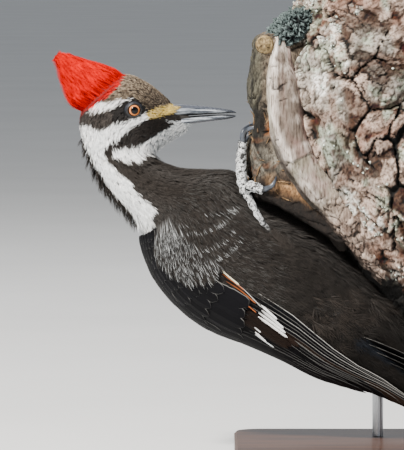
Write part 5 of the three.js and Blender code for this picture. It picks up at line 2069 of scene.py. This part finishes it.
    def lip(self, name: str, sign: float) -> Thing:
        """Makes one smooth lip of callus wood, with drawn-out flutes and a few short cracks across it."""
        rows, columns = 220, 86
        form = Tube([(x, sign * y, z) for x, y, z in self.LIP_PATH], self.LIP_RADII)
        s, a = form.grid(rows, columns)
        run = form.run(s) * 240
        local = np.stack([10 * np.cos(a), 10 * np.sin(a), run], -1)
        drawn = local * np.array([1, 1, 0.08])
        flutes = fractal(drawn, 5, 4, 31)
        phase = run / 13 + 1.5 * fractal(local, 9, 2, 12)
        across = 1 - soft_step(0.02, 0.07, np.abs(phase - np.round(phase)))
        crack = across * patches(0.08, 0.14, local * np.array([1, 1, 0.6]), 9, 2, 17)
        flare = 6.5 * np.maximum(0, np.cos(a - sign * 0.55)) ** 2  # runs out into the bark
        sheet = soft_step(3, 0, run - 104 - 9 * fractal(local, 8, 2, 41)) * soft_step(-0.75, -0.5, np.cos(a))
        end = soft_step(140, 172, run + 22 * fractal(local, 14, 3, 44))  # runs out into bark
        edge, chip = cells((local + 6 * fractal(local, 9, 3, 45)[..., None]) / 9.0, 3)
        lift = (3.0 * flutes * (1 - end) - 1.4 * crack + 2.0 * fractal(local, 12, 3, 8)
                + flare * soft_step(0.5, 2, s))
        lift = lift + 1.3 * sheet - 0.6 + end * (2.4 * (chip - 0.6) - 1.5 * soft_step(0.1, 0.0, edge))
        tone = mix("#6e645c", "#e0dad4", 0.6 + 2.4 * flutes + 1.2 * fractal(local, 9, 3, 51))
        tone = layered(tone, (
            ("#7f6660", 0.75 * soft_step(-0.1, 0.6, np.cos(a)) * patches(-0.1, 0.1, drawn, 5, 3, 53)),
            ("#8e8f7f", 0.6 * (1 - sheet) * patches(-0.1, 0.1, local, 12, 3, 63)),
            (mix("#66554c", "#c2b1a5", 0.5 + 2 * fractal(local, 5, 4, 33)), end),
            # painted shade: dark cracks between the bark cells where the lip runs out, and in the cracks
            # across it
            ("#1d1511", end * soft_step(0.08, 0.02, edge)),
            ("#17110e", 0.9 * crack)))
        # painted shade on the lip's underside, from about 60 mm along
        under = soft_step(-0.35, -0.85, np.cos(a)) * soft_step(60, 100, run)
        tone = mix(tone, "#241c17", 0.85 * under)
        return form_object(f"lip_{name}", form, rows, columns, CALLUS, lift, lambda _: padded(tone))

    def stub(self) -> Thing:
        """Makes the broken stub: long weathered fibres that bend round below, split and splintered."""
        layers, columns = 110, 380
        outline = np.array(self.STUB_OUTLINE)
        ring = np.concatenate([outline[-2:], outline, outline[:2]])
        edge = between(ring, np.arange(columns) / columns * len(outline) + 2)
        share = np.linspace(-1, 1, layers)[:, None]
        reach = (np.where(np.abs(share) > 0.86, 1 - ((np.abs(share) - 0.86) / 0.14) ** 1.6, 1.0)
                 * (1 - 0.3 * share ** 4))
        reach = np.maximum(reach, 0.004)
        middle = np.array(self.STUB_MIDDLE)
        flat = middle + (edge - middle)[None] * reach[..., None]
        y = self.STUB_DEPTH * np.sin(np.clip(share * 1.25, -1, 1) * math.pi / 2) * np.ones(columns)
        points = np.stack([flat[..., 0], y, flat[..., 1]], -1)
        x, z = flat[..., 0], flat[..., 1]
        far = np.hypot(x - middle[0], z - middle[1])
        turn = np.arctan2(z - middle[1], x - middle[0])
        along = np.stack([far, y, 50 * np.mod(turn, TURN) * 0.13], -1)
        fibres = fractal(along, 5, 4, 13)
        seam = np.abs(fractal(along * np.array([1, 1, 1.6]), 10, 3, 29))
        splits = (1 - soft_step(0.0, 0.035, seam)) * patches(-0.06, 0.08, points, 22, 2, 37)
        steps = np.floor((fractal(along, 12, 2, 47) + 0.04 * fractal(points, 3, 2, 2)) * 14) / 14
        out = unit(np.stack([x - middle[0], 0.8 * y, z - middle[1]], -1))
        lift = 2.6 * fibres - 3.8 * splits + 9.0 * steps + 1.6 * fractal(points, 6, 3, 41) - 0.6
        points = points + out * np.clip(lift, -6, 3.5)[..., None]
        z = z + 16 * fractal(points, 14, 3, 66)
        tone = mix("#1b1612", "#7a7064", 0.45 + 3.6 * fibres + 0.9 * fractal(points, 9, 3, 44))
        tone = mix(tone, mix("#4a4843", "#9b9d96", 0.5 + 2.6 * fibres),
                   0.65 * soft_step(236, 226, z) * soft_step(200, 208, z))
        fresh = mix("#3a2619", "#bd976d", 0.6 + 3.4 * fibres)
        tone = mix(tone, fresh, soft_step(214, 202, z) * soft_step(-138, -128, x))
        tone = mix(tone, "#5d3a22", 0.6 * patches(0.12, 0.2, points, 9, 3, 73) * soft_step(250, 242, z))
        left = soft_step(-127, -135, x + 6 * fractal(points, 9, 3, 52)) * soft_step(228, 240, z)
        tone = layered(tone, (
            (mix("#141411", "#55584e", 0.45 + 3.0 * fibres), 0.85 * left),
            ("#9a5c26", soft_step(6.5, 3, np.hypot(x + 122, (z - 244) * 0.8))),
            # painted shade in the splits, and painted shadow on the stub's lower side
            ("#17110d", np.maximum(0.95 * splits, soft_step(202, 191, z + 0.5 * (x + 110))))))
        stub = ringed("broken_stub", points, FIBRES, tone)
        return weigh(stub, soft_step(262, 244, z) * soft_step(192, 200, z) * (x < -105))


# ---- stand
@dataclass(frozen=True)
class StainedWoodFinish(Finish):
    """Dark stained hardwood under satin lacquer: fine open grain along it and a soft coat of gloss."""

    def dress(self, weave: Weave) -> None:
        """Draws long grain and pores."""
        grain = weave.noise(220.0, 8.0, (0.06, 1.0, 1.0), Distortion=0.6)
        weave.wear({"Base Color": weave.ramp(grain, (0.3, "#2a1a12"), (0.5, "#4a2f20"), (0.7, "#5f3f2b")),
                    "Roughness": 0.4, "Coat Weight": 0.35, "Coat Roughness": 0.2})
        weave.bump(grain, 0.25, 0.15)


@dataclass(frozen=True)
class SteelFinish(Finish):
    """Drawn stainless rod: bright metal with fine scratches round and along it."""

    def dress(self, weave: Weave) -> None:
        """Varies the gloss by fine stretched scratches."""
        lines = weave.noise(1400.0, 3.0, (1.0, 1.0, 0.03))
        weave.wear({"Roughness": weave.span(lines, (0.0, 1.0), (0.18, 0.4)), "Base Color": rgba("#a9acb0"),
                    "Metallic": 1.0})
        weave.bump(lines, 0.1, 0.03)


STAINED = StainedWoodFinish("stained_hardwood")
STEEL = SteelFinish("drawn_steel")


def dress_stand() -> None:
    """Gives the stand's CAD nodes their finishes."""
    for name, finish in (("stand_base", STAINED), ("stand_rod_1", STEEL), ("stand_rod_2", STEEL)):
        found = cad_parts[name]
        thing = found if isinstance(found, Thing) else bpy.data.objects[name]
        for slot in thing.material_slots:
            slot.material = finish.material()
        log.info("%s: finished", name)


# ---- stage
class Stage:
    """Sets the floor, the lights and the camera."""

    TARGET = Vector((-0.1738, 0.0, 0.1729))
    DISTANCE = 4.0
    ELEVATION = math.radians(3.0)
    FRAME_HEIGHT = 450 * 0.725 * MM  # height of the view at the object

    def build(self) -> None:
        """Makes everything around the object."""
        self.floor()
        self.lights()
        self.camera()

    def floor(self) -> None:
        """Makes a very large pale floor just under the stand."""
        size = 60.0
        points = np.array([(-size, -size, 0), (size, -size, 0), (size, size, 0), (-size, size, 0)], float)
        points[:, 2] = -0.0002
        floor = mesh_object("floor", points, np.array([(0, 1, 2, 3)]), FLOOR)

    def lights(self) -> None:
        """Makes a soft key light, a fill and a pale sky."""
        self.area("key", (-1.5, -2.1, 2.7), 0.4, 410.0, "#fff8ef")
        self.area("fill", (2.2, -2.4, 1.0), 2.2, 14.0, "#eef3ff")
        self.area("rim", (-0.6, 2.0, 2.4), 1.6, 30.0, "#ffffff")
        world = bpy.data.worlds.new("studio")
        world.use_nodes = True
        sky = world.node_tree.nodes["Background"]
        sky.inputs["Color"].default_value = rgba("#e9edf2")
        sky.inputs["Strength"].default_value = 0.42
        bpy.context.scene.world = world

    def area(self, name: str, place: tuple[float, float, float], size: float, power: float,
             code: str) -> None:
        """Adds a square area light that shines on the object."""
        light = bpy.data.lights.new(name, "AREA")
        light.shape = "SQUARE"
        light.size = size
        light.energy = power
        light.color = linear(code)
        lamp = bpy.data.objects.new(name, light)
        lamp.location = place
        lamp.rotation_euler = (self.TARGET - Vector(place)).to_track_quat("-Z", "Y").to_euler()
        bpy.context.scene.collection.objects.link(lamp)

    def camera(self) -> None:
        """Makes a long-lens camera that looks along +Y from slightly above."""
        lens = bpy.data.cameras.new("camera")
        lens.sensor_fit = "VERTICAL"
        lens.sensor_height = 36.0
        lens.lens = 36.0 * self.DISTANCE / self.FRAME_HEIGHT
        lens.clip_end = 200.0
        camera = bpy.data.objects.new("camera", lens)
        away = Vector((0.0, -math.cos(self.ELEVATION), math.sin(self.ELEVATION)))
        camera.location = self.TARGET + away * self.DISTANCE
        camera.rotation_euler = (-away).to_track_quat("-Z", "Y").to_euler()
        bpy.context.scene.collection.objects.link(camera)
        bpy.context.scene.camera = camera


@dataclass(frozen=True)
class PaintFinish(Finish):
    """Matt painted floor: pale and even, with a very faint mottle."""

    def dress(self, weave: Weave) -> None:
        """Mixes two near whites."""
        weave.wear({"Base Color": weave.ramp(weave.noise(3.0, 3.0), (0.3, "#d9dbdc"), (0.7, "#dfe1e2")),
                    "Roughness": 0.8})


FLOOR = PaintFinish("floor_paint")


def nearest(points: Array, others: Array) -> Array:
    """Distance from each point to the nearest of the others."""
    tree = kdtree.KDTree(len(others))
    for k, other in enumerate(others):
        tree.insert(other, k)
    tree.balance()
    return np.array([tree.find(point)[2] for point in points])


def main() -> None:
    """Builds the whole model and its surroundings."""
    logging.basicConfig(level=logging.INFO, format="%(name)s: %(message)s")
    rng = np.random.default_rng(20)
    Stage().build()
    wings = [Wing(side, rng) for side in ("left", "right")]
    under = np.concatenate([wing.samples() for wing in wings])
    bird = Bird(rng, lambda points: nearest(points, under) < 6.0)
    bird.skin()
    bird.contour_feathers()
    Crest(rng).build()
    Bill(rng).build()
    Eyes().build()
    for wing in wings:
        wing.build()
    Tail(rng).build()
    for side in ("left", "right"):
        Leg(side, rng).build()
    Perch().build()
    dress_stand()


if __name__ == "__main__":
    main()
